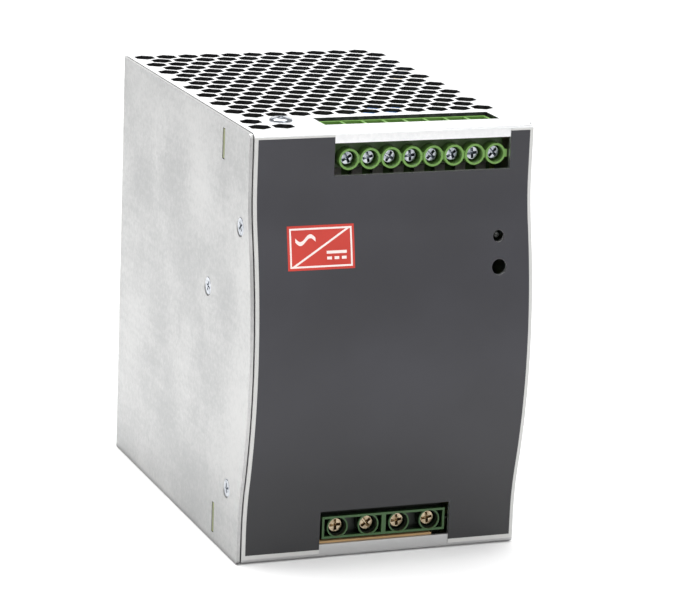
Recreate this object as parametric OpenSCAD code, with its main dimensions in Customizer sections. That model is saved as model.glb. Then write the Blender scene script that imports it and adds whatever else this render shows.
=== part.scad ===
// DIN rail power supply in a sheet metal case: screw terminals at the top and bottom of the front,
// perforated top and bottom, and a spring-loaded rail clip on its back.
// X runs across the front, -Y is the front, +Y faces the rail, and Z is up.
// The origin is the middle of the bottom. Parts are drawn with y counted from the flat front plane.

/* [Case] */
// Width across the side panels
case_w = 85.5; // [85:0.1:86]
// Height of the case
case_h = 125.2; // [124.8:0.1:125.6]
// Depth from the top of the front's bow to the rear wall
case_d = 128.5; // [128:0.1:129]
// Thickness of the sheet metal
sheet = 1.0; // [0.9:0.05:1.1]
// Outside radius of the fold between the left panel and the rear wall
rear_fold_r = 5; // [4:0.5:6]
// Outside radius of the cover's folds
cover_fold_r = 1.2; // [1.1:0.05:1.4]
// Open seam between the left panel and the cover
seam = 0.35; // [0.25:0.05:0.45]

/* [Bowed front] */
// How far the front bows forward
bow = 6; // [5:0.5:7]
// Half of the bow's height
bow_half = 51.5; // [50:0.5:52]
// Height of the middle of the bow
bow_z = 60; // [59:0.5:61]
// Share of the bow's arcs that is convex
bow_share = 0.7; // [0.65:0.01:0.75]

/* [Perforation] */
// Distance between holes along a row
hole_pitch = 7.05; // [7:0.01:7.1]
// Width of a hole across its flats
hole_flats = 5.9; // [5.5:0.1:6]
// Number of rows
hole_rows = 16; // [14:1:16]
// Number of holes in a row
holes_per_row = 11; // [10:1:11]
// First hole, counted from the middle of the case
hole_x = -36.8; // [-37:0.1:-36.6]
// Rearmost row, counted from the front plane
hole_y = 116.6; // [116.2:0.1:117]

/* [Output terminals] */
// Number of output clamps
out_ways = 8; // [6:1:8]
// Distance between output clamps
out_pitch = 6.35; // [6.3:0.01:6.4]
// Middle of the output block
out_x = 9.5; // [9:0.1:10]
// Height of the output screws
out_z = 116.7; // [116.4:0.1:117]
// Outside diameter of an output screw tower
out_tower_d = 6.1; // [6:0.05:6.2]
// Bore of an output screw tower
out_bore_d = 4.8; // [4.7:0.05:4.9]

/* [Input terminals] */
// Number of input clamps
in_ways = 4; // [3:1:4]
// Distance between input clamps
in_pitch = 9.5; // [9.4:0.05:9.6]
// Middle of the input block
in_x = 2.4; // [2:0.1:2.8]
// Height of the input screws
in_z = 8.5; // [8.3:0.1:8.7]
// Outside diameter of an input screw tower
in_tower_d = 6.4; // [6.2:0.05:6.6]
// Bore of an input screw tower
in_bore_d = 5.2; // [5:0.05:5.3]

/* [Clamps] */
// Depth of the tower rims behind the front plane
rim_y = 1.1; // [0.9:0.1:1.3]
// Depth of the screw heads behind the front plane
head_y = 3.2; // [3:0.1:3.4]
// Travel of a clamp cage from open to closed
cage_travel = 3.4; // [3:0.1:3.5]
// Shank diameter of a clamp screw
shank_d = 3; // [2.9:0.1:3]

/* [Front boards and controls] */
// Front face of the terminal board
board_y = 21.2; // [21:0.1:21.4]
// Thickness of the circuit boards
board_t = 1.6; // [1.5:0.1:1.7]
// Component face of the main board
main_x = 33.5; // [33:0.1:34]
// Middle of the lamp and of the trimmer hole
control_x = 32.4; // [32:0.1:33]
// Height of the lamp
lamp_z = 93.4; // [93:0.1:94]
// Height of the trimmer
trimmer_z = 84.7; // [84:0.1:85]

/* [Rail clip] */
// Height of the rail that the clip takes
rail_h = 35; // [35:0.1:35.2]
// Middle of the rail
rail_z = 63; // [62:0.5:64]
// Thickness of the clip plate
clip_t = 2; // [1.8:0.1:2.2]
// Travel of the latch
latch_travel = 4; // [3.5:0.1:4]

/* [Hidden] */
fine = 128;          // facets of a circle in the preview
far = 300;           // reach of a cutting shape
gap = 0.1;           // room between parts that lie beside each other

// Case
flat_d = case_d - bow;                          // depth behind the flat front plane
label_t = 0.2;
plate_y = flat_d;                               // front face of the clip plate
rail_y = plate_y + clip_t;                      // plane of the rail's wings
lip_gap = 1.3;                                  // room for a rail wing behind a hook's lip
lip_t = 1.4;
clip_end_y = rail_y + lip_gap + lip_t + 0.4;    // rearmost face of the latch guides
front_y = (bow + label_t - clip_end_y) / 2;     // flat front plane in the part's own frame
left_in = -case_w / 2 + sheet;                  // inner face of the left panel
cover_left = left_in + seam;
right_in = case_w / 2 - sheet;                  // inner face of the right panel

// Arcs of the bow: a convex arc between two concave ones, all tangent
bow_angle = 2 * atan(bow / bow_half);
arc_sum = bow_half / sin(bow_angle);
convex_r = arc_sum * bow_share;
concave_r = arc_sum - convex_r;
bow_steps = 10;                                 // flats of a concave arc, and half of the convex one's
fold_steps = 5;

// Openings of the cover
out_open = [-17.6, 35.8];
out_open_z = [112.4, 121.7];
in_open = [-17.8, 22.3];
in_open_z = [4, 13.4];
wire_open_y = [8.7, 18.5];
lamp_hole_d = 3.4;
trimmer_hole_d = 4.5;
label_x = [-41.35, 42.65];
label_z = [1.3, 124];
badge_x = [-31.6, -11.6];
badge_z = [86.6, 98.9];

// Joints of the sheet metal: ears, screws (those of the left panel as [y, z]), and slits for board tabs
ear_t = 1;
ear_half = [5, 4];
boss_at = [-27.8, 16.7];
side_screw_at = [[5.9, 97.7], [32.6, 74], [10.9, 19.6]];
flange_w = 10;
flange_screw_z = [25, 100];
flange_screw_y = 116;
m3_hole_d = 3.1;
m3_d = 3;
m3_length = 4;
side_head_d = 6;
side_recess = 3.2;
slit_z = [[2.8, 11.9], [113.6, 122.5]];

// Boards, controls and parts behind the front, as [y, z] on the main board
board_rear = 117.5;
board_z = [4, 121];
standoff_at = [[28, 10], [28, 115], [108.5, 10], [108.5, 115]];
standoff_d = 6;
film_x = [39.6, 39.9];
lamp_d = 2.9;
lamp_tip_y = -1.2;
rotor_y = 11.5;
rotor_d = 5;
core_at = [78, 62];
core_half = 20;
core_leg = 6;
core_x = [-40, -2];
side_sink_t = 3;
rear_sink_y = [101.5, 104.5];
rear_sink_x = -30;

// Clamp stack along y, behind the front plane
head_t = 1.8;
shoulder_y = [head_y + head_t + gap, head_y + head_t + gap + 0.8];
cage_wall = 1.4;
cage_end = 0.8;
bar_t = 1;
tip_gap = 0.1;
cage_y = shoulder_y[1] + gap + cage_travel;     // front of an open cage
tip_y = cage_y + cage_wall + 0.2;
bar_y = tip_y + tip_gap;
wire_y = [bar_y + bar_t, bar_y + bar_t + cage_travel + 0.4];
cage_back = wire_y[1] + cage_end;
cage_h = 5;
block_y = 4.6;                                  // front of a block's body
entry_w = 5.3;                                  // from screw axis to the wire entry face
foot_w = 9.5;                                   // from screw axis to the far side
tail_w = -7;                                    // where a contact bends back to the board
contact_w = 3.2;
out_cage_w = 5;
in_cage_w = 7.4;

// Clip
rail_low = rail_z - rail_h / 2;
rail_high = rail_z + rail_h / 2;
hook_gap = 0.3;
plate_half = 20;
plate_z = [10, 92];
latch_half = 12;
latch_t = 1.5;
latch_y = rail_y + gap;
latch_low = 6;
guide_z = [14, 34];
window_x = 7;
window_half = 2;
window_z = [18, 34];
stop_t = 2;
spring_d = 3;
plate_screw_x = 17;
plate_screw_z = [16, 86];
plate_head_d = 5.6;

// Places a part in the part's own frame
module placed() { translate([0, front_y, 0]) children(); }
// Extrude an outline drawn in (y, z) along X, one drawn in (x, z) along Y, and one in (x, y) along Z
module along_x(x0, x1) { translate([x0, 0, 0]) rotate([90, 0, 90]) linear_extrude(x1 - x0) children(); }
module along_y(y0, y1) { translate([0, y1, 0]) rotate([90, 0, 0]) linear_extrude(y1 - y0) children(); }
module along_z(z0, z1) { translate([0, 0, z0]) linear_extrude(z1 - z0) children(); }
// A box and a rectangle from their lowest to their highest corners
module block(x, y, z) { translate([x[0], y[0], z[0]]) cube([x[1] - x[0], y[1] - y[0], z[1] - z[0]]); }
module field(x, y) { translate([x[0], y[0]]) square([x[1] - x[0], y[1] - y[0]]); }
// Round bars along the three axes, from one end to the other
module bar_x(d, x0, x1) { translate([x0, 0, 0]) rotate([0, 90, 0]) cylinder(d = d, h = x1 - x0, $fn = fine); }
module bar_y(d, y0, y1) { translate([0, y0, 0]) rotate([-90, 0, 0]) cylinder(d = d, h = y1 - y0, $fn = fine); }
module bar_z(d, z0, z1) { translate([0, 0, z0]) cylinder(d = d, h = z1 - z0, $fn = fine); }
// A flush head that narrows along +X through one sheet's thickness, and its shank
module flush_screw(head_d, shank, length) {
    rotate([0, 90, 0]) {
        cylinder(d1 = head_d, d2 = shank, h = sheet, $fn = fine);
        cylinder(d = shank, h = length, $fn = fine);
    }
}
// A cross recess cut into a head that lies in the YZ plane and faces -X
module cross_recess(size) {
    for (a = [0, 90]) rotate([a, 0, 0]) block([-1, 0.9], [-size / 2, size / 2], [-size / 8, size / 8]);
}

// Points of an arc around a centre, from one angle to another
function arc(y, z, r, from, to, steps) =
    [for (i = [0 : steps]) let (a = from + (to - from) * i / steps) [y + r * cos(a), z + r * sin(a)]];
// Side view of the case, drawn in (y, z), with every face moved inwards by inset
module side_outline(inset) {
    r = cover_fold_r - inset;
    concave_y = -concave_r;
    convex_y = convex_r - bow;
    polygon(concat(
        [[far, case_h - inset]],
        arc(inset + r, case_h - inset - r, r, 90, 180, fold_steps),
        arc(concave_y, bow_z + bow_half, concave_r + inset, 0, -bow_angle, bow_steps),
        arc(convex_y, bow_z, convex_r - inset, 180 - bow_angle, 180 + bow_angle, 2 * bow_steps),
        arc(concave_y, bow_z - bow_half, concave_r + inset, bow_angle, 0, bow_steps),
        arc(inset + r, inset + r, r, 180, 270, fold_steps),
        [[far, inset]]));
}
module case_outline(inset) { intersection() { side_outline(inset); field([-far, flat_d], [-far, far]); } }
// Front sheet or film between two depths of the bowed face, drawn in (y, z)
module front_skin(outer, inner) {
    intersection() {
        difference() { side_outline(outer); side_outline(inner); }
        field([-far, cover_fold_r], [cover_fold_r, case_h - cover_fold_r]);
    }
}
module hex_hole() { rotate(30) circle(d = hole_flats / cos(30), $fn = 6); }
module perforation() {
    row_pitch = hole_pitch * sin(60);
    last_row_y = hole_y - (hole_rows - 1) * row_pitch;
    for (row = [0 : hole_rows - 1], i = [0 : holes_per_row - 1])
        translate([hole_x + (i + (row % 2) / 2) * hole_pitch, hole_y - row * row_pitch]) hex_hole();
    translate([hole_x, last_row_y - 8.4]) hex_hole();
    for (i = [0, 1]) translate([hole_x + i * hole_pitch, last_row_y - 16.1]) hex_hole();
}
module control_holes() {
    translate([control_x, 0, lamp_z]) bar_y(lamp_hole_d, -far, sheet + 1);
    translate([control_x, 0, trimmer_z]) bar_y(trimmer_hole_d, -far, sheet + 1);
}

// Left panel and rear wall, folded from one sheet, with a narrow flange behind the right panel
module chassis() {
    inner_r = rear_fold_r - sheet;
    ear_x = [left_in, boss_at[0] + ear_half[0]];
    ear_y = [boss_at[1] - ear_half[1], boss_at[1] + ear_half[1]];
    color("silver") placed() difference() {
        union() {
            intersection() {
                along_x(-case_w / 2, left_in) case_outline(0);
                block([-far, far], [-far, flat_d - rear_fold_r], [-far, far]);
            }
            along_z(0, case_h) intersection() {
                translate([-case_w / 2 + rear_fold_r, flat_d - rear_fold_r]) difference() {
                    circle(rear_fold_r, $fn = fine);
                    circle(inner_r, $fn = fine);
                }
                field([-far, -case_w / 2 + rear_fold_r], [flat_d - rear_fold_r, far]);
            }
            block([-case_w / 2 + rear_fold_r, right_in - gap], [flat_d - sheet, flat_d], [0, case_h]);
            block([right_in - gap - ear_t, right_in - gap], [flat_d - flange_w, flat_d],
                  [sheet + gap, case_h - sheet - gap]);
            block(ear_x, ear_y, [case_h - sheet - ear_t - gap, case_h - sheet - gap]);
            block(ear_x, ear_y, [sheet + gap, sheet + gap + ear_t]);
        }
        for (z = [-far, case_h - sheet - gap])
            block([cover_left - seam / 2, far], [-far, far], [z, z < 0 ? sheet + gap : far]);
        for (z = slit_z) block([-far, left_in + 0.5], [board_y - 0.2, board_y + board_t + 0.2], z);
        for (at = side_screw_at) translate([-case_w / 2, at[0], at[1]])
            flush_screw(side_head_d + gap, m3_hole_d, m3_length + 1);
        for (z = flange_screw_z) translate([0, flange_screw_y, z]) bar_x(m3_hole_d, main_x, case_w / 2);
        translate([boss_at[0], boss_at[1], 0]) bar_z(m3_hole_d, 0, case_h);
        for (sx = [-1, 1], z = plate_screw_z) translate([sx * plate_screw_x, 0, z])
            bar_y(m3_hole_d, board_rear, far);
    }
}

// Top, bowed front, bottom and right panel, folded from one sheet
module cover() {
    relief_d = 1.5;
    color("gainsboro") placed() difference() {
        union() {
            along_x(cover_left, case_w / 2) difference() {
                case_outline(0);
                side_outline(sheet);
            }
            along_x(right_in, case_w / 2) difference() {
                case_outline(sheet + gap);
                field([-far, far], [-far, sheet + 0.3]);
            }
            block([right_in, case_w / 2], [sheet + relief_d, flat_d], [case_h - 2 * sheet, case_h]);
            for (i = [0, 2]) intersection() {
                block([cover_left, cover_left + ear_t], [-bow, 15],
                      [side_screw_at[i][1] - 6, side_screw_at[i][1] + 6]);
                along_x(cover_left - 1, cover_left + 2) side_outline(sheet / 2);
            }
        }
        along_z(-1, case_h + 1) perforation();
        block(out_open, [-far, sheet + 1], out_open_z);
        block(in_open, [-far, sheet + 1], in_open_z);
        block(out_open, wire_open_y, [case_h - 5, far]);
        block(in_open, wire_open_y, [-far, 5]);
        control_holes();
        translate([case_w / 2 - 0.4, sheet, 0]) bar_z(relief_d, case_h - sheet - 0.5, far);
        for (i = [0, 2]) translate([-case_w / 2, side_screw_at[i][0], side_screw_at[i][1]])
            bar_x(m3_hole_d, 0, m3_length);
        for (z = flange_screw_z) translate([case_w / 2, flange_screw_y, z])
            mirror([1, 0, 0]) flush_screw(side_head_d + gap, m3_hole_d, m3_length);
        translate([boss_at[0], boss_at[1], 0]) bar_z(m3_hole_d, 0, case_h + 1);
        translate([boss_at[0], boss_at[1], 0]) rotate([0, -90, 0]) flush_screw(side_head_d + gap, m3_hole_d, 2);
    }
}

// Printed film over the front, notched around both terminal openings
module front_label() {
    color("dimgray") placed() difference() {
        intersection() {
            along_x(label_x[0], label_x[1]) front_skin(-label_t, 0);
            block([-far, far], [-far, far], label_z);
        }
        block(out_open, [-far, far], [out_open_z[0], far]);
        block(in_open, [-far, far], [-far, in_open_z[1]]);
        control_holes();
        block(badge_x, [-far, far], badge_z);
    }
}
module badge() {
    color("orangered") placed() intersection() {
        along_x(badge_x[0], badge_x[1]) front_skin(-label_t, 0);
        block([-far, far], [-far, far], badge_z);
    }
}

// One pan-head screw on top and one flush screw underneath, both into the chassis' ears
module cover_screws() {
    head_d = 6.6;
    head_t_top = 1.2;
    color("lightgray") placed() translate([boss_at[0], boss_at[1], 0]) {
        difference() {
            union() {
                bar_z(head_d, case_h, case_h + head_t_top);
                bar_z(m3_d, case_h - 3.5, case_h);
            }
            translate([0, 0, case_h + head_t_top]) rotate([0, 90, 0]) cross_recess(3.6);
        }
        difference() {
            rotate([0, -90, 0]) flush_screw(side_head_d, m3_d, m3_length);
            rotate([0, -90, 0]) cross_recess(side_recess);
        }
    }
}
module side_screws() {
    color("lightgray") placed() for (at = side_screw_at) translate([-case_w / 2, at[0], at[1]]) difference() {
        flush_screw(side_head_d, m3_d, m3_length);
        cross_recess(side_recess);
    }
}
module flange_screws() {
    color("lightgray") placed() for (z = flange_screw_z) translate([case_w / 2, flange_screw_y, z])
        mirror([1, 0, 0]) difference() {
            flush_screw(side_head_d, m3_d, m3_length);
            cross_recess(side_recess);
        }
}

// Boards
module terminal_board() {
    tab_z = [slit_z[0][0] + 0.2, slit_z[0][1] - 0.2];
    tab_high = [slit_z[1][0] + 0.2, slit_z[1][1] - 0.2];
    color("darkolivegreen") placed() difference() {
        union() {
            block([left_in + 1.3, right_in - 1.2], [board_y, board_y + board_t],
                  [2.4, case_h - sheet - ear_t - 1]);
            for (z = [tab_z, tab_high])
                block([-case_w / 2 + gap, left_in + 1.3], [board_y, board_y + board_t], z);
        }
        pin_holes(out_ways, out_pitch, out_x, out_z + tail_w);
        pin_holes(in_ways, in_pitch, in_x, in_z - tail_w);
    }
}
module pin_holes(ways, pitch, x, z) {
    for (i = [0 : ways - 1]) translate([x + (i - (ways - 1) / 2) * pitch, 0, z])
        block([-1.2, 1.2], [board_y - 1, board_y + board_t + 1], [-0.7, 0.7]);
}
module main_board() {
    color("darkolivegreen") placed() difference() {
        block([main_x, main_x + board_t], [board_y + board_t + gap, board_rear], board_z);
        for (at = standoff_at) translate([0, at[0], at[1]]) bar_x(m3_hole_d, 0, right_in);
    }
}
module board_standoffs() {
    color("gold") placed() for (at = standoff_at) translate([0, at[0], at[1]]) {
        translate([main_x + board_t, 0, 0]) rotate([0, 90, 0])
            cylinder(d = standoff_d, h = right_in - main_x - board_t, $fn = 6);
        bar_x(m3_d, main_x, main_x + board_t);
        bar_x(standoff_d - 0.5, main_x - 1.6, main_x);
    }
}
module insulation_sheet() {
    color("ivory") placed() difference() {
        block(film_x, [board_y + board_t + 1, standoff_at[2][0] - standoff_d + 1], [6, 119]);
        for (at = standoff_at) translate([0, at[0], at[1]]) bar_x(standoff_d + 1, 0, case_w / 2);
    }
}
// Strip of insulating board, folded over the sheet below the input screws
module terminal_insulator() {
    color("tan") placed() {
        block([-17.4, 17.5], [sheet + gap, block_y - 2 * gap], [4.1, 4.5]);
        block([-17.4, 17.5], [sheet + gap, sheet + 0.5], [sheet + 0.3, 4.5]);
    }
}

// One cell of a terminal block is cut around the screw axis: y is depth and w points to the wire entry
module clamp_cell(bore_d, cage_w, side) {
    bar_y(bore_d, -1, shoulder_y[0]);
    bar_y(shank_d + 0.2, 0, cage_y);
    scale([1, 1, side]) {
        block([-cage_w / 2 - gap, cage_w / 2 + gap], [shoulder_y[1], cage_back + gap], [-2.6, 2.6]);
        block([-cage_w / 2 + 0.6, cage_w / 2 - 0.6], [wire_y[0], wire_y[1]], [0, entry_w + 1]);
        block([-contact_w / 2 - gap, contact_w / 2 + gap], [bar_y - gap, wire_y[0] + gap], [tail_w - 0.5, 2.5]);
        block([-contact_w / 2 - gap, contact_w / 2 + gap], [bar_y - gap, far], [tail_w - 0.6, tail_w + 0.6]);
    }
}
module contact(side) {
    scale([1, 1, side]) {
        block([-contact_w / 2, contact_w / 2], [bar_y, wire_y[0]], [tail_w - 0.5, 2.4]);
        block([-contact_w / 2, contact_w / 2], [bar_y, board_y - gap], [tail_w - 0.5, tail_w + 0.5]);
        block([-1, 1], [board_y - gap, board_y + board_t + 1.5], [tail_w - 0.5, tail_w + 0.5]);
    }
}
module output_row() {
    for (i = [0 : out_ways - 1])
        translate([out_x + (i - (out_ways - 1) / 2) * out_pitch, 0, out_z]) children();
}
module input_row() {
    for (i = [0 : in_ways - 1])
        translate([in_x + (i - (in_ways - 1) / 2) * in_pitch, 0, in_z]) children();
}
module output_terminal_housing() {
    half = out_ways * out_pitch / 2 + 0.4;
    color("yellowgreen") placed() difference() {
        union() {
            block([out_x - half, out_x + half], [block_y, board_y - gap], [out_z - foot_w, out_z + entry_w]);
            output_row() bar_y(out_tower_d, rim_y, block_y + 1);
            block([out_x - half, out_x + half], [rim_y + 0.8, block_y + 1], [out_z - 1.3, out_z + 1.3]);
        }
        output_row() clamp_cell(out_bore_d, out_cage_w, 1);
    }
}
module input_terminal_housing() {
    half = in_ways * in_pitch / 2;
    rim = 0.8;
    rim_w = 3.4;
    color("darkgreen") placed() difference() {
        union() {
            block([in_x - half, in_x + half], [block_y, board_y - gap], [in_z - entry_w, in_z + foot_w]);
            difference() {
                block([in_x - half, in_x + half], [rim_y, block_y + 1], [in_z - rim_w, in_z + rim_w]);
                for (s = [-1, 1]) translate([in_x + s * half / 2, 0, in_z])
                    block([rim - half / 2, half / 2 - rim], [-1, block_y], [rim - rim_w, rim_w - rim]);
            }
            input_row() bar_y(in_tower_d, rim_y, block_y + 1);
        }
        input_row() clamp_cell(in_bore_d, in_cage_w, -1);
    }
}
module output_contacts() { color("silver") placed() output_row() contact(1); }
module input_contacts() { color("silver") placed() input_row() contact(-1); }

// Captive clamp screw along Y with a cross recess
module clamp_screw(head_d) {
    difference() {
        union() {
            bar_y(head_d, head_y, head_y + head_t);
            bar_y(shank_d, head_y, tip_y);
        }
        translate([0, head_y, 0]) rotate([0, 0, 90]) cross_recess(2.8);
    }
}
// Rising cage: its threaded wall rides on the screw, and its far wall pulls the wire against the contact
module clamp_cage(width) {
    difference() {
        block([-width / 2, width / 2], [cage_y, cage_back], [-cage_h / 2, cage_h / 2]);
        block([-width / 2 + 0.6, width / 2 - 0.6], [cage_y + cage_wall, wire_y[1]], [-far, far]);
        bar_y(shank_d + 0.1, 0, cage_y + cage_wall + 1);
    }
}
module output_at(i) {
    placed() translate([out_x + (i - (out_ways + 1) / 2) * out_pitch, 0, out_z]) children();
}
module input_at(i) {
    placed() translate([in_x + (i - (in_ways + 1) / 2) * in_pitch, 0, in_z]) children();
}
module output_screw(i) { color("lightgray") output_at(i) clamp_screw(out_bore_d - 0.6); }
module output_cage(i) { color("silver") output_at(i) clamp_cage(out_cage_w); }
module input_screw(i) { color("wheat") input_at(i) clamp_screw(in_bore_d - 0.6); }
module input_cage(i) { color("silver") input_at(i) clamp_cage(in_cage_w); }

// Lamp on its leads, just behind its hole, and a single-turn trimmer behind a deeper one
module lamp() {
    color("darkgreen") placed() translate([control_x, 0, lamp_z]) {
        bar_y(lamp_d, lamp_tip_y + lamp_d / 2, lamp_tip_y + 5);
        translate([0, lamp_tip_y + lamp_d / 2, 0]) sphere(d = lamp_d, $fn = fine);
        bar_y(lamp_d + 0.9, lamp_tip_y + 5, lamp_tip_y + 6);
        bar_y(lamp_d + 0.5, lamp_tip_y + 6, board_y);
    }
}
module trimmer_body() {
    color("royalblue") placed() translate([control_x, 0, trimmer_z]) difference() {
        block([-4.8, 4.8], [rotor_y, board_y], [-4.8, 3.2]);
        bar_y(rotor_d + gap, rotor_y - 1, rotor_y + 4);
    }
}
module trimmer_rotor() {
    color("white") placed() translate([control_x, 0, trimmer_z]) difference() {
        bar_y(rotor_d, rotor_y - 0.4, rotor_y + 3.9);
        block([-2, 2], [-far, rotor_y + 0.6], [-0.35, 0.35]);
    }
}

// Power parts on the main board, which all stand out from it towards the left panel, placed at [y, z]
module on_board(y, z) { translate([main_x, y, z]) children(); }
module transformer_core() {
    window = core_half - core_leg;
    color("dimgray") placed() on_board(core_at[0], core_at[1]) difference() {
        block(core_x, [-core_half, core_half], [-core_half, core_half]);
        block([core_x[0] + core_leg, core_x[1] - core_leg], [-far, far], [-window, window]);
    }
}
module transformer_winding() {
    color("goldenrod") placed() on_board(core_at[0], core_at[1])
        bar_x(2 * (core_half - core_leg - 2 * gap), core_x[0] + core_leg + gap, core_x[1] - core_leg - gap);
}
module ring_choke(outer, inner, depth) {
    difference() {
        bar_x(outer, -depth, 0);
        bar_x(inner, -depth - 1, 1);
    }
}
module boost_choke() { color("peru") placed() on_board(40, 46) ring_choke(30, 12, 16); }
module line_filter_choke() { color("peru") placed() on_board(41, 19) ring_choke(22, 9, 13); }
module bulk_capacitors() {
    color("black") placed() for (at = [[41, 84], [84, 22]]) on_board(at[0], at[1]) bar_x(29, -45, 0);
}
module output_capacitors() {
    color("midnightblue") placed() for (y = [34, 48, 62]) on_board(y, 107) bar_x(12.5, -25, 0);
}
module film_capacitors() {
    color("deepskyblue") placed() {
        on_board(76, 106) block([-15, 0], [-7, 7], [-9, 9]);
        on_board(61, 16) block([-17, 0], [-6, 6], [-10, 10]);
    }
}
module fuse() { color("beige") placed() on_board(61, 33) block([-8, 0], [-8, 8], [-3, 3]); }

// Heat spreaders: one bar on the left panel, one plate across the case in front of the rear wall
module side_heatsink() {
    color("silver") placed() difference() {
        block([left_in + gap, left_in + gap + side_sink_t], [27, 96], [62, 88]);
        translate([0, side_screw_at[1][0], side_screw_at[1][1]]) bar_x(m3_hole_d, -far, 0);
    }
}
module rear_heatsink() {
    color("silver") placed() {
        block([rear_sink_x, main_x - gap], rear_sink_y, [44, 119]);
        for (z = [50, 66, 82, 98, 114]) block([rear_sink_x, main_x - 6], [rear_sink_y[1], 112], [z - 1, z + 1]);
    }
}
module power_transistors() {
    color("black") placed() {
        for (y = [46, 64, 82]) translate([left_in + gap + side_sink_t, y, 75]) block([0, 5], [-8, 8], [-10, 10]);
        for (x = [-18, 4]) translate([x, rear_sink_y[0], 100]) block([-8, 8], [-5, 0], [-10, 10]);
    }
}

// Rail clip: a plate with a fixed upper hook, and a sprung latch that slides down to let go of the rail
module rail_plate() {
    lip_y = [rail_y + lip_gap, rail_y + lip_gap + lip_t];
    guide_in = latch_half + 0.2;
    color("lightgray") placed() difference() {
        union() {
            block([-plate_half, plate_half], [plate_y, rail_y], plate_z);
            block([-plate_half, plate_half], [rail_y, lip_y[1]], [rail_high + hook_gap, rail_high + 2.3]);
            block([-plate_half, plate_half], lip_y, [rail_high - 2.9, rail_high + 1]);
            for (s = [-1, 1]) scale([s, 1, 1]) {
                block([guide_in, guide_in + 1.6], [rail_y, clip_end_y], guide_z);
                block([guide_in - 1.7, guide_in + 0.5], [latch_y + latch_t + 0.2, clip_end_y], guide_z);
                block([window_x - window_half + 0.2, window_x + window_half - 0.2],
                      [rail_y - 0.1, latch_y + latch_t], [window_z[0] + 0.3, window_z[0] + 0.3 + stop_t]);
            }
        }
        for (s = [-1, 1]) {
            block([s * window_x - window_half, s * window_x + window_half], [-far, rail_y + gap / 2],
                  [window_z[0] + 0.3 + stop_t, window_z[1] + 2]);
            for (z = plate_screw_z) translate([s * plate_screw_x, rail_y, z])
                rotate([0, 0, -90]) flush_screw(plate_head_d, m3_hole_d, m3_length + 1);
        }
    }
}
module rail_plate_screws() {
    color("silver") placed() for (s = [-1, 1], z = plate_screw_z) translate([s * plate_screw_x, rail_y, z])
        rotate([0, 0, -90]) difference() {
            flush_screw(plate_head_d - gap, m3_d, m3_length + 1);
            cross_recess(side_recess);
        }
}
module rail_latch() {
    top_z = rail_low - hook_gap;
    color("gray") placed() difference() {
        union() {
            block([-latch_half, latch_half], [latch_y, latch_y + latch_t], [latch_low, top_z]);
            block([-latch_half, latch_half], [latch_y, rail_y + lip_gap + lip_t], [top_z - 1.8, top_z]);
            block([-latch_half, latch_half], [rail_y + lip_gap, rail_y + lip_gap + lip_t],
                  [top_z - 1, rail_low + 3]);
        }
        for (s = [-1, 1])
            block([s * window_x - window_half, s * window_x + window_half], [-far, far], window_z);
        block([-3, 3], [-far, far], [latch_low + 2, latch_low + 5]);
    }
}
module latch_springs() {
    color("silver") placed() for (s = [-1, 1]) translate([s * window_x, rail_y + 0.4, 0])
        difference() {
            bar_z(spring_d, window_z[0] + 0.3 + stop_t, window_z[1]);
            bar_z(spring_d - 1, -1, far);
        }
}

chassis();
cover();
front_label();
badge();
cover_screws();
side_screws();
flange_screws();
terminal_board();
main_board();
board_standoffs();
insulation_sheet();
terminal_insulator();
output_terminal_housing();
output_contacts();
input_terminal_housing();
input_contacts();
for (i = [1 : out_ways]) {
    output_screw(i);
    output_cage(i);
}
for (i = [1 : in_ways]) {
    input_screw(i);
    input_cage(i);
}
lamp();
trimmer_body();
trimmer_rotor();
transformer_core();
transformer_winding();
boost_choke();
line_filter_choke();
bulk_capacitors();
output_capacitors();
film_capacitors();
fuse();
side_heatsink();
rear_heatsink();
power_transistors();
rail_plate();
rail_plate_screws();
rail_latch();
latch_springs();
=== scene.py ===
# %% [markdown]
# # A power supply for a 35 mm rail
# The object is a small metal case with a bowed front. It is made here the way a sheet metal shop makes
# it: a folded chassis, a folded and perforated cover, a printed film on the front, and two rows of
# moulded screw terminals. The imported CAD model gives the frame: where each part is and what moves.

# %% Load the frame
import bmesh
import bpy
import math
import random
from mathutils import Matrix, Vector


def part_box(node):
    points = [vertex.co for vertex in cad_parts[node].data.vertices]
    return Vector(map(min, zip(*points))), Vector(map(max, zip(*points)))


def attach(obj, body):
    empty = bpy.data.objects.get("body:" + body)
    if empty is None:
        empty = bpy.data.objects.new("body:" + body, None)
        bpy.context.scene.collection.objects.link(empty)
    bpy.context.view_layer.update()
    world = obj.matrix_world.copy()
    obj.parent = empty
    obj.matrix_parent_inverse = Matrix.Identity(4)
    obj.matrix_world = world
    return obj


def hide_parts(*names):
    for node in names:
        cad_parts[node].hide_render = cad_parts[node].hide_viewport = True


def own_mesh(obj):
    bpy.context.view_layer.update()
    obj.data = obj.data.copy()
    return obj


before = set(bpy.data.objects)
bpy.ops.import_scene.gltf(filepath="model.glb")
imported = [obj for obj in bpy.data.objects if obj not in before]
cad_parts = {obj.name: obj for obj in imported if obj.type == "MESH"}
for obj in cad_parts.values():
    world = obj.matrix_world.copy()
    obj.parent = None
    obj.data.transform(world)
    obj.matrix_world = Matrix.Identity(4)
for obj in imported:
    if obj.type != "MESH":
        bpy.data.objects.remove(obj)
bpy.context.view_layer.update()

# %% [markdown]
# ## Where things are
# Every piece is drawn in millimetres, with y counted backwards from the flat plane of the front, because
# that is how the parts are dimensioned in a drawing. One function at the end of each piece turns that
# into metres in the shared frame. The case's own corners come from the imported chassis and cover.

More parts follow.
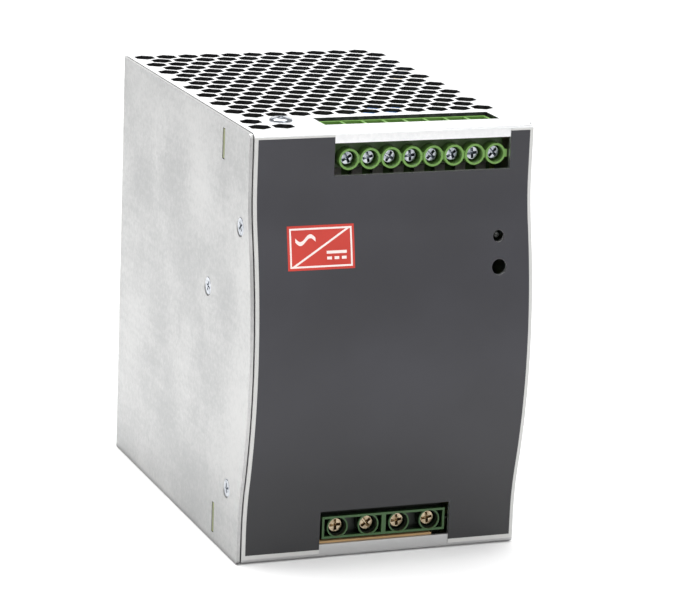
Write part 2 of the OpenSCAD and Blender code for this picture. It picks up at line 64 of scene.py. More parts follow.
# %% The case in millimetres
MM = 0.001
CASE_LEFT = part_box("chassis")[0].x / MM
CASE_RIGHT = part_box("cover")[1].x / MM
CASE_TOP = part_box("chassis")[1].z / MM
FLAT_DEPTH = 122.5                                   # from the front's flat plane to the rear wall
FRONT_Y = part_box("chassis")[1].y / MM - FLAT_DEPTH   # that plane in the shared frame
SHEET = 1.0
SEAM = 0.35
COVER_LEFT = CASE_LEFT + SHEET + SEAM
QUARTER = math.pi / 2
print("case:", round(CASE_RIGHT - CASE_LEFT, 2), "x", round(CASE_TOP, 2), "front at", round(FRONT_Y, 2))


# %% [markdown]
# ## Small tools for mesh work
# A piece starts as an empty bmesh, gets blocks, rods and turned shapes from bmesh operators, and is then
# turned into an object. Holes are cut with Boolean modifiers that are applied at once, because the
# bevels that follow need the real edges.

# %% Basic shapes
def block(bm, x, y, z):
    """Adds a box that reaches from x[0] to x[1], y[0] to y[1] and z[0] to z[1]."""
    low, high = Vector((x[0], y[0], z[0])), Vector((x[1], y[1], z[1]))
    place = Matrix.Translation((low + high) / 2) @ Matrix.Diagonal((*(high - low), 1))
    return bmesh.ops.create_cube(bm, size=1, matrix=place)["verts"]


TURNS = {"X": Matrix.Rotation(QUARTER, 4, "Y"), "Y": Matrix.Rotation(-QUARTER, 4, "X"),
         "Z": Matrix.Identity(4)}


def rod(bm, axis, at, start, end, diameter, end_diameter=None, segments=48):
    """Adds a round bar or cone from start to end along an axis; at gives the other two coordinates."""
    middle = (start + end) / 2
    centre = {"X": (middle, at[0], at[1]), "Y": (at[0], middle, at[1]), "Z": (at[0], at[1], middle)}[axis]
    far_radius = (diameter if end_diameter is None else end_diameter) / 2
    return bmesh.ops.create_cone(bm, cap_ends=True, segments=segments, radius1=diameter / 2,
                                 radius2=far_radius, depth=abs(end - start),
                                 matrix=Matrix.Translation(centre) @ TURNS[axis])["verts"]


def turned(bm, outline, axis, at, segments=64):
    """Spins an outline of (radius, position along the axis) once round the axis."""
    points = [bm.verts.new((r, 0, a)) for r, a in outline]
    edges = [bm.edges.new(pair) for pair in zip(points, points[1:])]
    made = bmesh.ops.spin(bm, geom=points + edges, cent=(0, 0, 0), axis=(0, 0, 1), dvec=(0, 0, 0),
                          angle=2 * math.pi, steps=segments, use_merge=True, use_duplicate=False)
    shape = {v for e in edges if e.is_valid for v in e.verts}
    shape |= {g for g in made["geom_last"] if isinstance(g, bmesh.types.BMVert)}
    todo = list(shape)
    while todo:
        for edge in todo.pop().link_edges:
            for vert in edge.verts:
                if vert not in shape:
                    shape.add(vert)
                    todo.append(vert)
    bmesh.ops.remove_doubles(bm, verts=list(shape), dist=1e-4)
    shape = [v for v in shape if v.is_valid]
    place = Matrix.Translation({"X": (0, *at), "Y": (at[0], 0, at[1]), "Z": (*at, 0)}[axis]) @ TURNS[axis]
    bmesh.ops.transform(bm, matrix=place, verts=shape)
    bmesh.ops.recalc_face_normals(bm, faces=list({f for v in shape for f in v.link_faces}))
    return shape


def prism(bm, axis, outline, start, end):
    """Extrudes a closed flat outline along an axis: its points are (y, z), (x, z) or (x, y)."""
    put = {"X": lambda u, v: (start, u, v), "Y": lambda u, v: (u, start, v),
           "Z": lambda u, v: (u, v, start)}
    way = {"X": (1, 0, 0), "Y": (0, 1, 0), "Z": (0, 0, 1)}[axis]
    face = bm.faces.new([bm.verts.new(put[axis](u, v)) for u, v in outline])
    grown = bmesh.ops.extrude_face_region(bm, geom=[face])["geom"]
    moved = [g for g in grown if isinstance(g, bmesh.types.BMVert)]
    bmesh.ops.translate(bm, vec=Vector(way) * (end - start), verts=moved)
    faces = {f for v in moved for f in v.link_faces} | {face}
    bmesh.ops.recalc_face_normals(bm, faces=list(faces))
    return list({v for f in faces for v in f.verts})


# %% Objects, cuts and edges
def piece_from(bm, name):
    """Turns a bmesh in case millimetres into an object in the shared frame."""
    bmesh.ops.scale(bm, vec=(MM, MM, MM), verts=bm.verts)
    bmesh.ops.translate(bm, vec=(0, FRONT_Y * MM, 0), verts=bm.verts)
    mesh = bpy.data.meshes.new(name)
    bm.to_mesh(mesh)
    bm.free()
    piece = bpy.data.objects.new(name, mesh)
    bpy.context.scene.collection.objects.link(piece)
    return piece


def apply_modifiers(piece):
    bpy.context.view_layer.update()
    graph = bpy.context.evaluated_depsgraph_get()
    mesh = bpy.data.meshes.new_from_object(piece.evaluated_get(graph))
    piece.modifiers.clear()
    piece.data = mesh


def combine(piece, tool_bm, operation="DIFFERENCE"):
    """Cuts a tool out of a piece, or joins it on, and leaves one closed mesh."""
    tool = piece_from(tool_bm, "tool")
    step = piece.modifiers.new("combine", "BOOLEAN")
    step.object = tool
    step.operation = operation
    step.solver = "EXACT"
    apply_modifiers(piece)
    bpy.data.objects.remove(tool)


def soften(piece, width, segments=2, angle=30):
    """Breaks the sharp edges, as a press, a mould or a file does, and shades the piece smooth."""
    edge = piece.modifiers.new("edges", "BEVEL")
    edge.width = width * MM
    edge.segments = segments
    edge.limit_method = "ANGLE"
    edge.angle_limit = math.radians(angle)
    edge.harden_normals = True
    piece.data.shade_smooth()


def settle(piece, body, finish, slot, *nodes):
    """Gives a finished piece its material and its body, and hides the CAD nodes that it stands for."""
    piece.data.materials.clear()
    piece.data.materials.append(finish)
    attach(piece, body)
    if nodes:
        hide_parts(*nodes)
    print(piece.name, "rides on", body, "with", len(piece.data.polygons), "faces")
    return piece


def case_piece(bm, name, width, finish, slot, *nodes, segments=2):
    """Makes, softens and settles a piece of the case in one go."""
    piece = piece_from(bm, name)
    soften(piece, width, segments)
    return settle(piece, "case", finish, slot, *nodes)


# %% [markdown]
# ## Shader maths as plain expressions
# A pattern is easier to read as a formula than as a web of nodes. Signal wraps a socket, and its
# operators add Math nodes. Finish is a material: constants go straight to its shader's sockets, and one
# method adds any other node.

# %% Signals and finishes
class Signal:
    """A number, vector or colour that changes over a surface."""

    def __init__(self, finish, socket):
        self.finish, self.socket = finish, socket

    def math(self, operation, *values):
        return self.finish.node("ShaderNodeMath", {"operation": operation}, dict(enumerate(values)))

    def __add__(self, other): return self.math("ADD", self, other)
    def __radd__(self, other): return self.math("ADD", other, self)
    def __sub__(self, other): return self.math("SUBTRACT", self, other)
    def __rsub__(self, other): return self.math("SUBTRACT", other, self)
    def __mul__(self, other): return self.math("MULTIPLY", self, other)
    def __rmul__(self, other): return self.math("MULTIPLY", other, self)
    def __gt__(self, other): return self.math("GREATER_THAN", self, other)
    def __lt__(self, other): return self.math("LESS_THAN", self, other)
    def __abs__(self): return self.math("ABSOLUTE", self)

    def ramp(self, low, high, start=0.0, end=1.0):
        """Goes from start to end as this signal goes from low to high, and stays inside them."""
        return self.finish.node("ShaderNodeMapRange", {"interpolation_type": "SMOOTHSTEP"},
                                {0: self, 1: low, 2: high, 3: start, 4: end})


class Finish:
    """A material with one Principled shader."""

    def __init__(self, name, **constants):
        self.material = bpy.data.materials.new(name)
        self.material.use_nodes = True
        self.tree = self.material.node_tree
        self.shader = self.tree.nodes["Principled BSDF"]
        for socket, value in constants.items():
            self.shader.inputs[socket.replace("_", " ")].default_value = value

    def node(self, kind, settings=None, values=None, output=0):
        made = self.tree.nodes.new(kind)
        for key, value in (settings or {}).items():
            setattr(made, key, value)
        for key, value in (values or {}).items():
            self.feed(made.inputs[key], value)
        return Signal(self, made.outputs[output])

    def feed(self, socket, value):
        if isinstance(value, Signal):
            self.tree.links.new(value.socket, socket)
        else:
            socket.default_value = value

    def drive(self, **signals):
        for socket, value in signals.items():
            self.feed(self.shader.inputs[socket.replace("_", " ")], value)
        return self.material

    def place(self, scale=(1, 1, 1), turn=(0, 0, 0)):
        """Object coordinates in metres, turned and stretched."""
        source = self.node("ShaderNodeTexCoord", output=3)
        return self.node("ShaderNodeMapping", None, {0: source, 2: turn, 3: scale})

    def axis(self, letter):
        """One of the object coordinates, in millimetres of the shared frame."""
        source = self.node("ShaderNodeTexCoord", output=3)
        split = self.node("ShaderNodeSeparateXYZ", None, {0: source}, "XYZ".index(letter))
        return split * (1 / MM)

    def noise(self, scale, detail=3.0, roughness=0.5, stretch=(1, 1, 1)):
        """Noise between 0 and 1; scale is in features per metre."""
        values = {"Vector": self.place(stretch), "Scale": scale, "Detail": detail, "Roughness": roughness}
        return self.node("ShaderNodeTexNoise", None, values)

    def blend(self, mask, first, second):
        """A colour between two, by a mask from 0 to 1."""
        return self.node("ShaderNodeMix", {"data_type": "RGBA"}, {0: mask, 6: first, 7: second}, 2)

    def bump(self, height, depth, strength=1.0):
        """A bump from a height signal; depth is in millimetres."""
        values = {"Height": height, "Distance": depth * MM, "Strength": strength}
        return self.node("ShaderNodeBump", None, values)


def rgb(red, green, blue):
    """A colour given as it looks on a screen, from 0 to 255, as linear light."""
    def linear(c):
        c = c / 255
        return c / 12.92 if c <= 0.04045 else ((c + 0.055) / 1.055) ** 2.4
    return (linear(red), linear(green), linear(blue), 1.0)


def dimmed(colour, share):
    """A colour with only a share of its light."""
    return tuple(c * share for c in colour[:3]) + (1,)


# %% [markdown]
# ## Camera, floor and light
# A product picture of a small box is taken from a distance with a long lens, so its edges stay nearly
# parallel. The camera looks down a little from the left and leans by two degrees. The floor is a large
# pale sheet. The room is white but dim, and three softboxes light the case: a strong one overhead keeps
# the top almost white, and weak ones in front and behind keep the upright walls darker.

# %% Camera
LENS = 167.68                                        # mm, on a 36 mm wide sensor
TARGET = Vector((11.78, FRONT_Y + 60.0, 57.85)) * MM
AZIMUTH, ELEVATION, LEAN = math.radians(-21.32), math.radians(14.56), math.radians(2.30)
DISTANCE = 0.98376

away = Vector((math.sin(AZIMUTH) * math.cos(ELEVATION), -math.cos(AZIMUTH) * math.cos(ELEVATION),
               math.sin(ELEVATION)))
level = Vector((0, 0, 1)).cross(away).normalized()
upright = away.cross(level)
right = level * math.cos(LEAN) + upright * math.sin(LEAN)
camera = bpy.data.objects.new("camera", bpy.data.cameras.new("camera"))
camera.data.lens = LENS
camera.data.sensor_width = 36
camera.data.clip_start = 0.05
camera.matrix_world = Matrix.Translation(TARGET + away * DISTANCE) @ Matrix(
    (right, away.cross(right), away)).transposed().to_4x4()
bpy.context.scene.collection.objects.link(camera)
bpy.context.scene.camera = camera
print("camera at", [round(c, 3) for c in camera.matrix_world.translation])

# %% Floor and light
floor_bm = bmesh.new()
bmesh.ops.create_grid(floor_bm, x_segments=1, y_segments=1, size=12)
floor_mesh = bpy.data.meshes.new("floor")
floor_bm.to_mesh(floor_mesh)
floor_bm.free()
floor = bpy.data.objects.new("floor", floor_mesh)
bpy.context.scene.collection.objects.link(floor)
floor.location.z = -0.2 * MM                         # the case stands just clear of it
paper = Finish("floor_paper", Base_Color=(0.93, 0.93, 0.93, 1), Roughness=0.9)
fibres = paper.blend(paper.noise(40), (0.92, 0.92, 0.92, 1), (0.95, 0.95, 0.95, 1))
floor_mesh.materials.append(paper.drive(Base_Color=fibres))

ROOM_LIGHT = 0.36
world = bpy.data.worlds.new("room")
bpy.context.scene.world = world
world.use_nodes = True
room = world.node_tree.nodes["Background"]
room.inputs["Color"].default_value = (1, 1, 1, 1)
room.inputs["Strength"].default_value = ROOM_LIGHT


def softbox(name, place, aim, width, height, power):
    """A wide area light that points at a place on the object."""
    lamp_data = bpy.data.lights.new(name, "AREA")
    lamp_data.shape = "RECTANGLE"
    lamp_data.size, lamp_data.size_y = width, height
    lamp_data.energy = power
    light = bpy.data.objects.new(name, lamp_data)
    light.location = place
    light.rotation_euler = (Vector(aim) - Vector(place)).to_track_quat("-Z", "Y").to_euler()
    bpy.context.scene.collection.objects.link(light)


softbox("overhead", (-0.1, 0.15, 1.3), (0, 0, 0.1), 1.4, 1.4, 31)
softbox("front", (0.3, -1.6, 0.9), (0, 0, 0.06), 0.9, 0.9, 8)
softbox("back", (0.6, 1.5, 0.55), (0, 0, 0.12), 1.6, 0.8, 4.2)
bpy.context.scene.view_settings.view_transform = "Standard"
bpy.context.scene.view_settings.look = "None"


# %% [markdown]
# ## Finishes
# The case is zinc-coated steel. Its grain is fine, so the zinc shows as a faint mottle of lighter and
# darker grains with slightly different gloss, and the rolling of the sheet adds long soft streaks. Close
# to the floor its shadow is mirrored, and that is painted in: the colour sinks over the last few millimetres.

# %% Sheet steel, turned and stamped metal
def sheet_steel(name, light, dark, roughness, streak_axis, painted_shadow_height):
    """Zinc-coated sheet, rolled along one axis, with a painted shadow reflection over a foot of some
    millimetres.
    """
    steel = Finish(name, Metallic=0.92)
    grains = steel.noise(900, detail=6, roughness=0.65)
    stretch = tuple(0.06 if axis == streak_axis else 1 for axis in "XYZ")
    streaks = steel.noise(420, detail=3, stretch=stretch)
    clouds = steel.noise(28, detail=4)
    mask = (grains * 0.4 + streaks * 0.12 + clouds * 0.48).ramp(0.34, 0.66)
    zinc = steel.blend(mask, dark, light)
    # painted reflection of the floor shadow: the colour sinks towards the floor
    foot = steel.axis("Z").ramp(0, painted_shadow_height, 1, 0)
    return steel.drive(Base_Color=steel.blend(foot, zinc, dimmed(light, 0.55)),
                       Roughness=mask.ramp(0, 1, roughness + 0.06, roughness - 0.04),
                       Normal=steel.bump(grains, 0.012, 0.5))


case_steel = sheet_steel("chassis_steel", rgb(182, 182, 181), rgb(164, 165, 165), 0.36, "Y", 2)
cover_steel = sheet_steel("cover_steel", rgb(240, 240, 240), rgb(224, 225, 226), 0.40, "X", 16)


def plated(name, light, dark, roughness, scale=700):
    """Plating on a small turned or stamped part: slightly uneven gloss and faint tool marks."""
    metal = Finish(name, Metallic=1.0)
    marks = metal.noise(scale, detail=4)
    return metal.drive(Base_Color=metal.blend(marks.ramp(0.35, 0.65), dark, light),
                       Roughness=marks.ramp(0.3, 0.7, roughness + 0.05, roughness - 0.05),
                       Normal=metal.bump(marks, 0.01, 0.4))


zinc_screw = plated("zinc_screw", rgb(190, 194, 200), rgb(146, 152, 160), 0.2)
nickel_screw = plated("nickel_screw", rgb(200, 184, 158), rgb(160, 142, 116), 0.22)
bright_zinc = plated("bright_zinc", rgb(206, 208, 210), rgb(192, 194, 198), 0.34, 400)
brass = plated("brass", rgb(218, 186, 112), rgb(190, 156, 84), 0.3)
tin = plated("tinned_copper", rgb(212, 210, 206), rgb(180, 178, 174), 0.34)
aluminium = plated("heatsink_aluminium", rgb(168, 170, 174), rgb(140, 143, 148), 0.42, 250)
# painted shade: a black metal for the rear heat spreader, so the inside of the case reads dark
shade_black_metal = plated("black_metal_painted_shade", rgb(34, 34, 37), rgb(24, 24, 27), 0.5, 250)
spring_wire = plated("spring_wire", rgb(190, 192, 196), rgb(150, 153, 158), 0.3)
enamelled = plated("enamelled_copper", rgb(214, 122, 62), rgb(166, 84, 38), 0.28, 500)
print("metals:", len(bpy.data.materials))


# %% [markdown]
# Moulded plastic has a very fine spark-eroded texture, so it gets a small bump and a colour that drifts
# by a few percent. The same recipe, with other colours, serves the sleeves of the capacitors, the tape
# of the coils and most small parts. The terminal blocks have a recipe of their own, with painted shade:
# their towers are lighter in front, and in the gaps between them their green darkens with the depth.

# %% Plastics, boards and ceramics
def moulded(name, colour, roughness, drift=0.12, scale=1500, depth=0.01, **constants):
    """Plastic, tape or ceramic; drift is how much darker its colour gets in places."""
    plastic = Finish(name, **constants)
    texture = plastic.noise(scale, detail=3)
    tone = plastic.noise(90, detail=2)
    return plastic.drive(Base_Color=plastic.blend(tone.ramp(0.35, 0.65), dimmed(colour, 1 - drift), colour),
                         Roughness=texture.ramp(0.3, 0.7, roughness - 0.05, roughness + 0.05),
                         Normal=plastic.bump(texture, depth, 0.5))


def block_plastic(name, colour, ceiling, reach, share):
    """Terminal plastic with painted shade: below the ceiling it keeps a share of its colour at the depth of
    reach.
    """
    plastic = Finish(name)
    depth = plastic.axis("Y") - FRONT_Y
    # painted shade: below the ceiling the green darkens with the depth behind the tower fronts
    painted_shade_mask = depth.ramp(1.2, reach) * (plastic.axis("Z") < ceiling)
    texture = plastic.noise(1500, detail=3)
    tone = plastic.noise(90, detail=2).ramp(0.35, 0.65, 0, 0.12)
    # the dark end of the random tone, and the colour of the painted shade
    dark_tone_and_shade = dimmed(colour, share)
    return plastic.drive(Base_Color=plastic.blend(painted_shade_mask, plastic.blend(tone, colour, dark_tone_and_shade), dark_tone_and_shade),
                         Roughness=texture.ramp(0.3, 0.7, 0.36, 0.46),
                         Normal=plastic.bump(texture, 0.01, 0.5))


# ceiling, depth of reach and share of the painted shade of each block
output_green = block_plastic("output_block_green", rgb(104, 148, 68), 121.5, 4.4, 0.3)
input_green = block_plastic("input_block_green", rgb(56, 92, 48), 50, 2.2, 0.08)
insulator_board = moulded("insulating_board", rgb(196, 160, 112), 0.6, 0.2)
insulator_film = moulded("insulating_film", rgb(44, 44, 46), 0.35, 0.05)
winding_tape = moulded("winding_tape", rgb(222, 190, 66), 0.3, 0.08)
white_plastic = moulded("white_plastic", rgb(232, 232, 228), 0.4, 0.05)
trimmer_blue = moulded("trimmer_blue", rgb(34, 84, 168), 0.34, 0.08)
film_blue = moulded("film_capacitor_blue", rgb(44, 120, 190), 0.26, 0.08)
black_sleeve = moulded("capacitor_sleeve", rgb(38, 38, 46), 0.3, 0.1)
black_epoxy = moulded("black_epoxy", rgb(34, 34, 36), 0.55, 0.1)
ferrite = moulded("ferrite", rgb(70, 70, 74), 0.62, 0.18, 2200, 0.03)
ceramic = moulded("fuse_body", rgb(222, 214, 194), 0.42, 0.06)
lamp_lens = moulded("lamp_lens", rgb(16, 22, 17), 0.12, 0.05, IOR=1.5)


def laminate(name, mask_colour, track_colour):
    """Circuit board: solder mask over tracks that stand out as slightly lighter bands."""
    board = Finish(name, Coat_Weight=0.3, Coat_Roughness=0.15)
    lanes = board.noise(220, detail=1)
    tracks = abs(lanes - 0.5).ramp(0.02, 0.035, 1, 0)
    return board.drive(Base_Color=board.blend(tracks, mask_colour, track_colour), Roughness=0.42,
                       Normal=board.bump(tracks, 0.03, 0.6))


olive_board = laminate("olive_board", rgb(104, 112, 44), rgb(134, 140, 62))
green_board = laminate("green_board", rgb(28, 56, 30), rgb(46, 82, 44))
print("materials:", len(bpy.data.materials))


# %% [markdown]
# ## The bowed outline
# From the side, the front is flat at both ends and bows forward between them: a convex arc between two
# concave ones that meet it without a kink. Two circles that touch have their centres in line with the
# point where they touch, so one angle settles all three arcs.

# %% Side outline of the case
BOW = FRONT_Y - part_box("cover")[0].y / MM
BOW_HALF, BOW_MIDDLE = 51.5, 60.0
COVER_FOLD, REAR_FOLD = 1.2, 5.0
BOW_ANGLE = 2 * math.atan(BOW / BOW_HALF)
ARC_SUM = BOW_HALF / math.sin(BOW_ANGLE)
CONVEX = 0.7 * ARC_SUM
CONCAVE = ARC_SUM - CONVEX


def arc(centre, radius, start, end, steps):
    """Points along an arc; its angles are in radians."""
    angles = [start + (end - start) * i / steps for i in range(steps + 1)]
    return [(centre[0] + radius * math.cos(a), centre[1] + radius * math.sin(a)) for a in angles]


def side_profile(inset, rear):
    """(y, z) points from the rear end of the top, over the bowed front, to the rear end of the bottom."""
    corner = COVER_FOLD - inset
    high = CASE_TOP - inset - corner
    bow_start, bow_end = math.pi - BOW_ANGLE, math.pi + BOW_ANGLE
    return ([(rear, CASE_TOP - inset)]
            + arc((inset + corner, high), corner, QUARTER, 2 * QUARTER, 6)
            + arc((-CONCAVE, BOW_MIDDLE + BOW_HALF), CONCAVE + inset, 0, -BOW_ANGLE, 14)
            + arc((CONVEX - BOW, BOW_MIDDLE), CONVEX - inset, bow_start, bow_end, 28)[1:]
            + arc((-CONCAVE, BOW_MIDDLE - BOW_HALF), CONCAVE + inset, BOW_ANGLE, 0, 14)[1:]
            + arc((inset + corner, inset + corner), corner, 2 * QUARTER, 3 * QUARTER, 6)
            + [(rear, inset)])


print("bow:", round(BOW, 2), "mm, arcs of", round(CONVEX, 1), "and", round(CONCAVE, 1), "mm")

# %% [markdown]
# ## Chassis
# The left panel and the rear wall are one sheet with a wide fold between them. Seen from above that is
# one long bent strip, so it is drawn as a plan and raised to the height of the case. Its front edge is
# then cut to the bowed outline, as the blank is before it is folded. Screws sit flush in dimples that
# are pressed as cones, and two slits take the tabs of the terminal board.

# %% Chassis
SIDE_SCREWS = [(5.9, 97.7), (32.6, 74.0), (10.9, 19.6)]      # (y, z)
SLITS = [(2.8, 11.9), (113.6, 122.5)]                        # heights
BOSS = (-27.8, 16.7)                                         # the screw through the top and the bottom
BOARD_FRONT, BOARD_THICKNESS = 21.2, 1.6
RIGHT_IN = CASE_RIGHT - SHEET
GAP = 0.1
FLANGE, FLANGE_FOLD = 10.0, 1.2
HEAD, SHANK = 6.0, 3.0
DIMPLE = HEAD + 0.6                                          # the cone pressed for a flush head

fold = (CASE_LEFT + REAR_FOLD, FLAT_DEPTH - REAR_FOLD)
flange_x = RIGHT_IN - GAP
flange_fold = (flange_x - FLANGE_FOLD, FLAT_DEPTH - FLANGE_FOLD)
plan = ([(CASE_LEFT, -BOW - 1)] + arc(fold, REAR_FOLD, 2 * QUARTER, QUARTER, 12)
        + arc(flange_fold, FLANGE_FOLD, QUARTER, 0, 5)
        + [(flange_x, FLAT_DEPTH - FLANGE), (flange_x - SHEET, FLAT_DEPTH - FLANGE)]
        + arc(flange_fold, FLANGE_FOLD - SHEET, 0, QUARTER, 3)
        + arc(fold, REAR_FOLD - SHEET, QUARTER, 2 * QUARTER, 12) + [(CASE_LEFT + SHEET, -BOW - 1)])
bm = bmesh.new()
prism(bm, "Z", plan, 0, CASE_TOP)
chassis = piece_from(bm, "chassis_shell")
trim = bmesh.new()
prism(trim, "X", side_profile(0, FLAT_DEPTH + 1), CASE_LEFT - 1, CASE_RIGHT)
combine(chassis, trim, "INTERSECT")

tool = bmesh.new()
for low, high in ((-1, SHEET + GAP), (CASE_TOP - SHEET - GAP, CASE_TOP + 1)):
    block(tool, (COVER_LEFT - SEAM / 2, CASE_RIGHT), (-BOW - 1, FLAT_DEPTH + 1), (low, high))
for low, high in SLITS:
    block(tool, (CASE_LEFT - 1, CASE_LEFT + 2),
          (BOARD_FRONT - 0.2, BOARD_FRONT + BOARD_THICKNESS + 0.2), (low, high))
for at in SIDE_SCREWS:
    rod(tool, "X", at, CASE_LEFT - 0.2, CASE_LEFT + SHEET + 0.01, DIMPLE, SHANK)
combine(chassis, tool)
soften(chassis, 0.14)
settle(chassis, "case", case_steel, "case_metal", "chassis")


# %% [markdown]
# ## Cover
# The cover is one sheet too. Its top, bowed front and bottom are one strip, drawn from the side with its
# thickness and stretched across the case. The right panel hangs from the top. A small round relief at
# the corner keeps the sheet from tearing where the two folds meet. The hexagonal holes are punched
# through the flat blank, so the same grid is in the top and the bottom, and one Boolean cuts them all.
# The cut edges of the sheet have no zinc, so they get a darker finish.

# %% Cover sheet
OUTPUT_OPEN, OUTPUT_OPEN_Z = (-17.6, 35.8), (112.4, 121.7)
INPUT_OPEN, INPUT_OPEN_Z = (-17.8, 22.3), (4.0, 14.0)
WIRE_OPEN_Y = (8.7, 18.5)
CONTROL_X, LAMP_Z, TRIMMER_Z = 32.4, 93.4, 84.7
LAMP_HOLE, TRIMMER_HOLE = 3.4, 4.5
RELIEF = 1.5

bm = bmesh.new()
prism(bm, "X", side_profile(0, FLAT_DEPTH) + side_profile(SHEET, FLAT_DEPTH)[::-1], COVER_LEFT, CASE_RIGHT)
cover = piece_from(bm, "cover_shell")
side = bmesh.new()
prism(side, "X", side_profile(SHEET + GAP, FLAT_DEPTH), RIGHT_IN, CASE_RIGHT)
cut = bmesh.ops.bisect_plane(side, geom=side.verts[:] + side.edges[:] + side.faces[:],
                             plane_co=(0, 0, SHEET + 0.3), plane_no=(0, 0, 1), clear_inner=True)
rim = [e for e in cut["geom_cut"] if isinstance(e, bmesh.types.BMEdge)]
bmesh.ops.holes_fill(side, edges=rim, sides=0)
combine(cover, side, "UNION")
corner = bmesh.new()
block(corner, (RIGHT_IN, CASE_RIGHT), (SHEET + RELIEF, FLAT_DEPTH), (CASE_TOP - 2 * SHEET, CASE_TOP))
combine(cover, corner, "UNION")

bm = bmesh.new()
bm.from_mesh(cover.data)
bmesh.ops.remove_doubles(bm, verts=bm.verts, dist=1e-7)
top_edge = [e for e in bm.edges if all(abs(v.co.x / MM - CASE_RIGHT) < 0.01
                                       and abs(v.co.z / MM - CASE_TOP) < 0.01 for v in e.verts)]
bmesh.ops.bevel(bm, geom=top_edge, offset=1.0 * MM, offset_type="OFFSET", segments=5, profile=0.5,
                affect="EDGES", material=-1, clamp_overlap=True)
bm.to_mesh(cover.data)
bm.free()
print("cover sheet:", len(cover.data.polygons), "faces before it is punched")

# %% Punched holes
PITCH, FLATS = 7.05, 5.9
ROWS, PER_ROW = 16, 11
FIRST_X, REAR_ROW_Y = -36.8, 116.6
ROW_STEP = PITCH * math.sin(math.pi / 3)

front_row_y = REAR_ROW_Y - (ROWS - 1) * ROW_STEP
holes = [(FIRST_X + (i + (row % 2) / 2) * PITCH, REAR_ROW_Y - row * ROW_STEP)
         for row in range(ROWS) for i in range(PER_ROW)]
holes += [(FIRST_X, front_row_y - 8.4), (FIRST_X, front_row_y - 16.1),
          (FIRST_X + PITCH, front_row_y - 16.1)]
SIXTH = math.pi / 6
punch = bmesh.new()
for centre in holes:
    prism(punch, "Z", arc(centre, FLATS / 2 / math.cos(SIXTH), SIXTH, 11 * SIXTH, 5), -1, CASE_TOP + 1)
combine(cover, punch)

FLANGE_SCREWS = [(116.0, 25.0), (116.0, 100.0)]              # (y, z)
BEFORE, BEHIND = -9, 2                                       # a front cut starts and ends here

tool = bmesh.new()
block(tool, OUTPUT_OPEN, (BEFORE, BEHIND), OUTPUT_OPEN_Z)
block(tool, INPUT_OPEN, (BEFORE, BEHIND), INPUT_OPEN_Z)
block(tool, OUTPUT_OPEN, WIRE_OPEN_Y, (CASE_TOP - 3, CASE_TOP + 1))
block(tool, INPUT_OPEN, WIRE_OPEN_Y, (-1, 3))
rod(tool, "Y", (CONTROL_X, LAMP_Z), BEFORE, BEHIND, LAMP_HOLE)
rod(tool, "Y", (CONTROL_X, TRIMMER_Z), BEFORE, BEHIND, TRIMMER_HOLE)
rod(tool, "Z", (CASE_RIGHT - 0.4, SHEET), CASE_TOP - SHEET - 0.5, CASE_TOP + 1, RELIEF)
rod(tool, "Z", BOSS, -0.2, SHEET + 0.01, DIMPLE, SHANK)
rod(tool, "Z", BOSS, CASE_TOP - 3, CASE_TOP + 1, SHANK)
for at in FLANGE_SCREWS:
    rod(tool, "X", at, RIGHT_IN - 0.01, CASE_RIGHT + 0.2, SHANK, DIMPLE)
combine(cover, tool)
soften(cover, 0.13)
settle(cover, "case", cover_steel, "case_metal", "cover")

cover.data.materials.append(plated("punched_edge", rgb(88, 88, 90), rgb(60, 60, 62), 0.5))
punched = 0
for face in cover.data.polygons:
    centre = face.center / MM
    in_sheet = min(centre.z, CASE_TOP - centre.z) < SHEET - 0.05
    inland = COVER_LEFT + 1 < centre.x < RIGHT_IN - 0.5 and 2 < centre.y - FRONT_Y < FLAT_DEPTH - 1
    if in_sheet and inland and abs(face.normal.z) < 0.2:
        face.material_index = 1
        punched += 1
print("faces of punched edges:", punched)


# %% [markdown]
# ## Front film
# A printed film covers the front and follows its bow. It is cut out around both terminal openings, where
# the bare metal shows, and its margin is printed in light grey. The margin is a pattern in the material:
# it shows wherever a point lies beside or beyond the dark printed field. The field gets painted shade: it
# is a little darker towards the bottom, where the bow turns away from the light.

# %% Film
FILM_X, FILM_Z = (-41.35, 42.65), (1.3, 124.0)
PRINT_X, PRINT_Z = (-40.25, 41.65), (2.5, 123.5)
BADGE_X, BADGE_Z = (-31.6, -11.6), (86.6, 98.9)
FILM = 0.2

FILM_CUT = (BEFORE, 9)


def front_sticker(name, x, z):
    """A thin strip round the bowed front, trimmed to its reach in x and z."""
    bm = bmesh.new()
    prism(bm, "X", side_profile(-FILM, 6) + side_profile(-0.01, 6)[::-1], *x)
    sticker = piece_from(bm, name)
    tool = bmesh.new()
    for waste in ((z[1], CASE_TOP + 2), (-2, z[0])):
        block(tool, (-50, 50), FILM_CUT, waste)
    combine(sticker, tool)
    return sticker


film = front_sticker("front_film", FILM_X, FILM_Z)
tool = bmesh.new()
block(tool, OUTPUT_OPEN, FILM_CUT, (OUTPUT_OPEN_Z[0], CASE_TOP + 2))
block(tool, INPUT_OPEN, FILM_CUT, (-2, INPUT_OPEN_Z[1]))
rod(tool, "Y", (CONTROL_X, LAMP_Z), *FILM_CUT, LAMP_HOLE)
rod(tool, "Y", (CONTROL_X, TRIMMER_Z), *FILM_CUT, TRIMMER_HOLE)
block(tool, BADGE_X, FILM_CUT, BADGE_Z)
combine(film, tool)
soften(film, 0.04, 1)

ink = Finish("printed_film", Specular_IOR_Level=0.45)
across, height = ink.axis("X"), ink.axis("Z")
beside = abs(across - sum(PRINT_X) / 2) > (PRINT_X[1] - PRINT_X[0]) / 2
beyond = abs(height - sum(PRINT_Z) / 2) > (PRINT_Z[1] - PRINT_Z[0]) / 2
margin = beside.math("MAXIMUM", beside, beyond)
stipple = ink.noise(2600, detail=2)
drift = ink.noise(30, detail=3)
field = ink.blend(drift.ramp(0.3, 0.7), rgb(46, 46, 51), rgb(51, 51, 57))
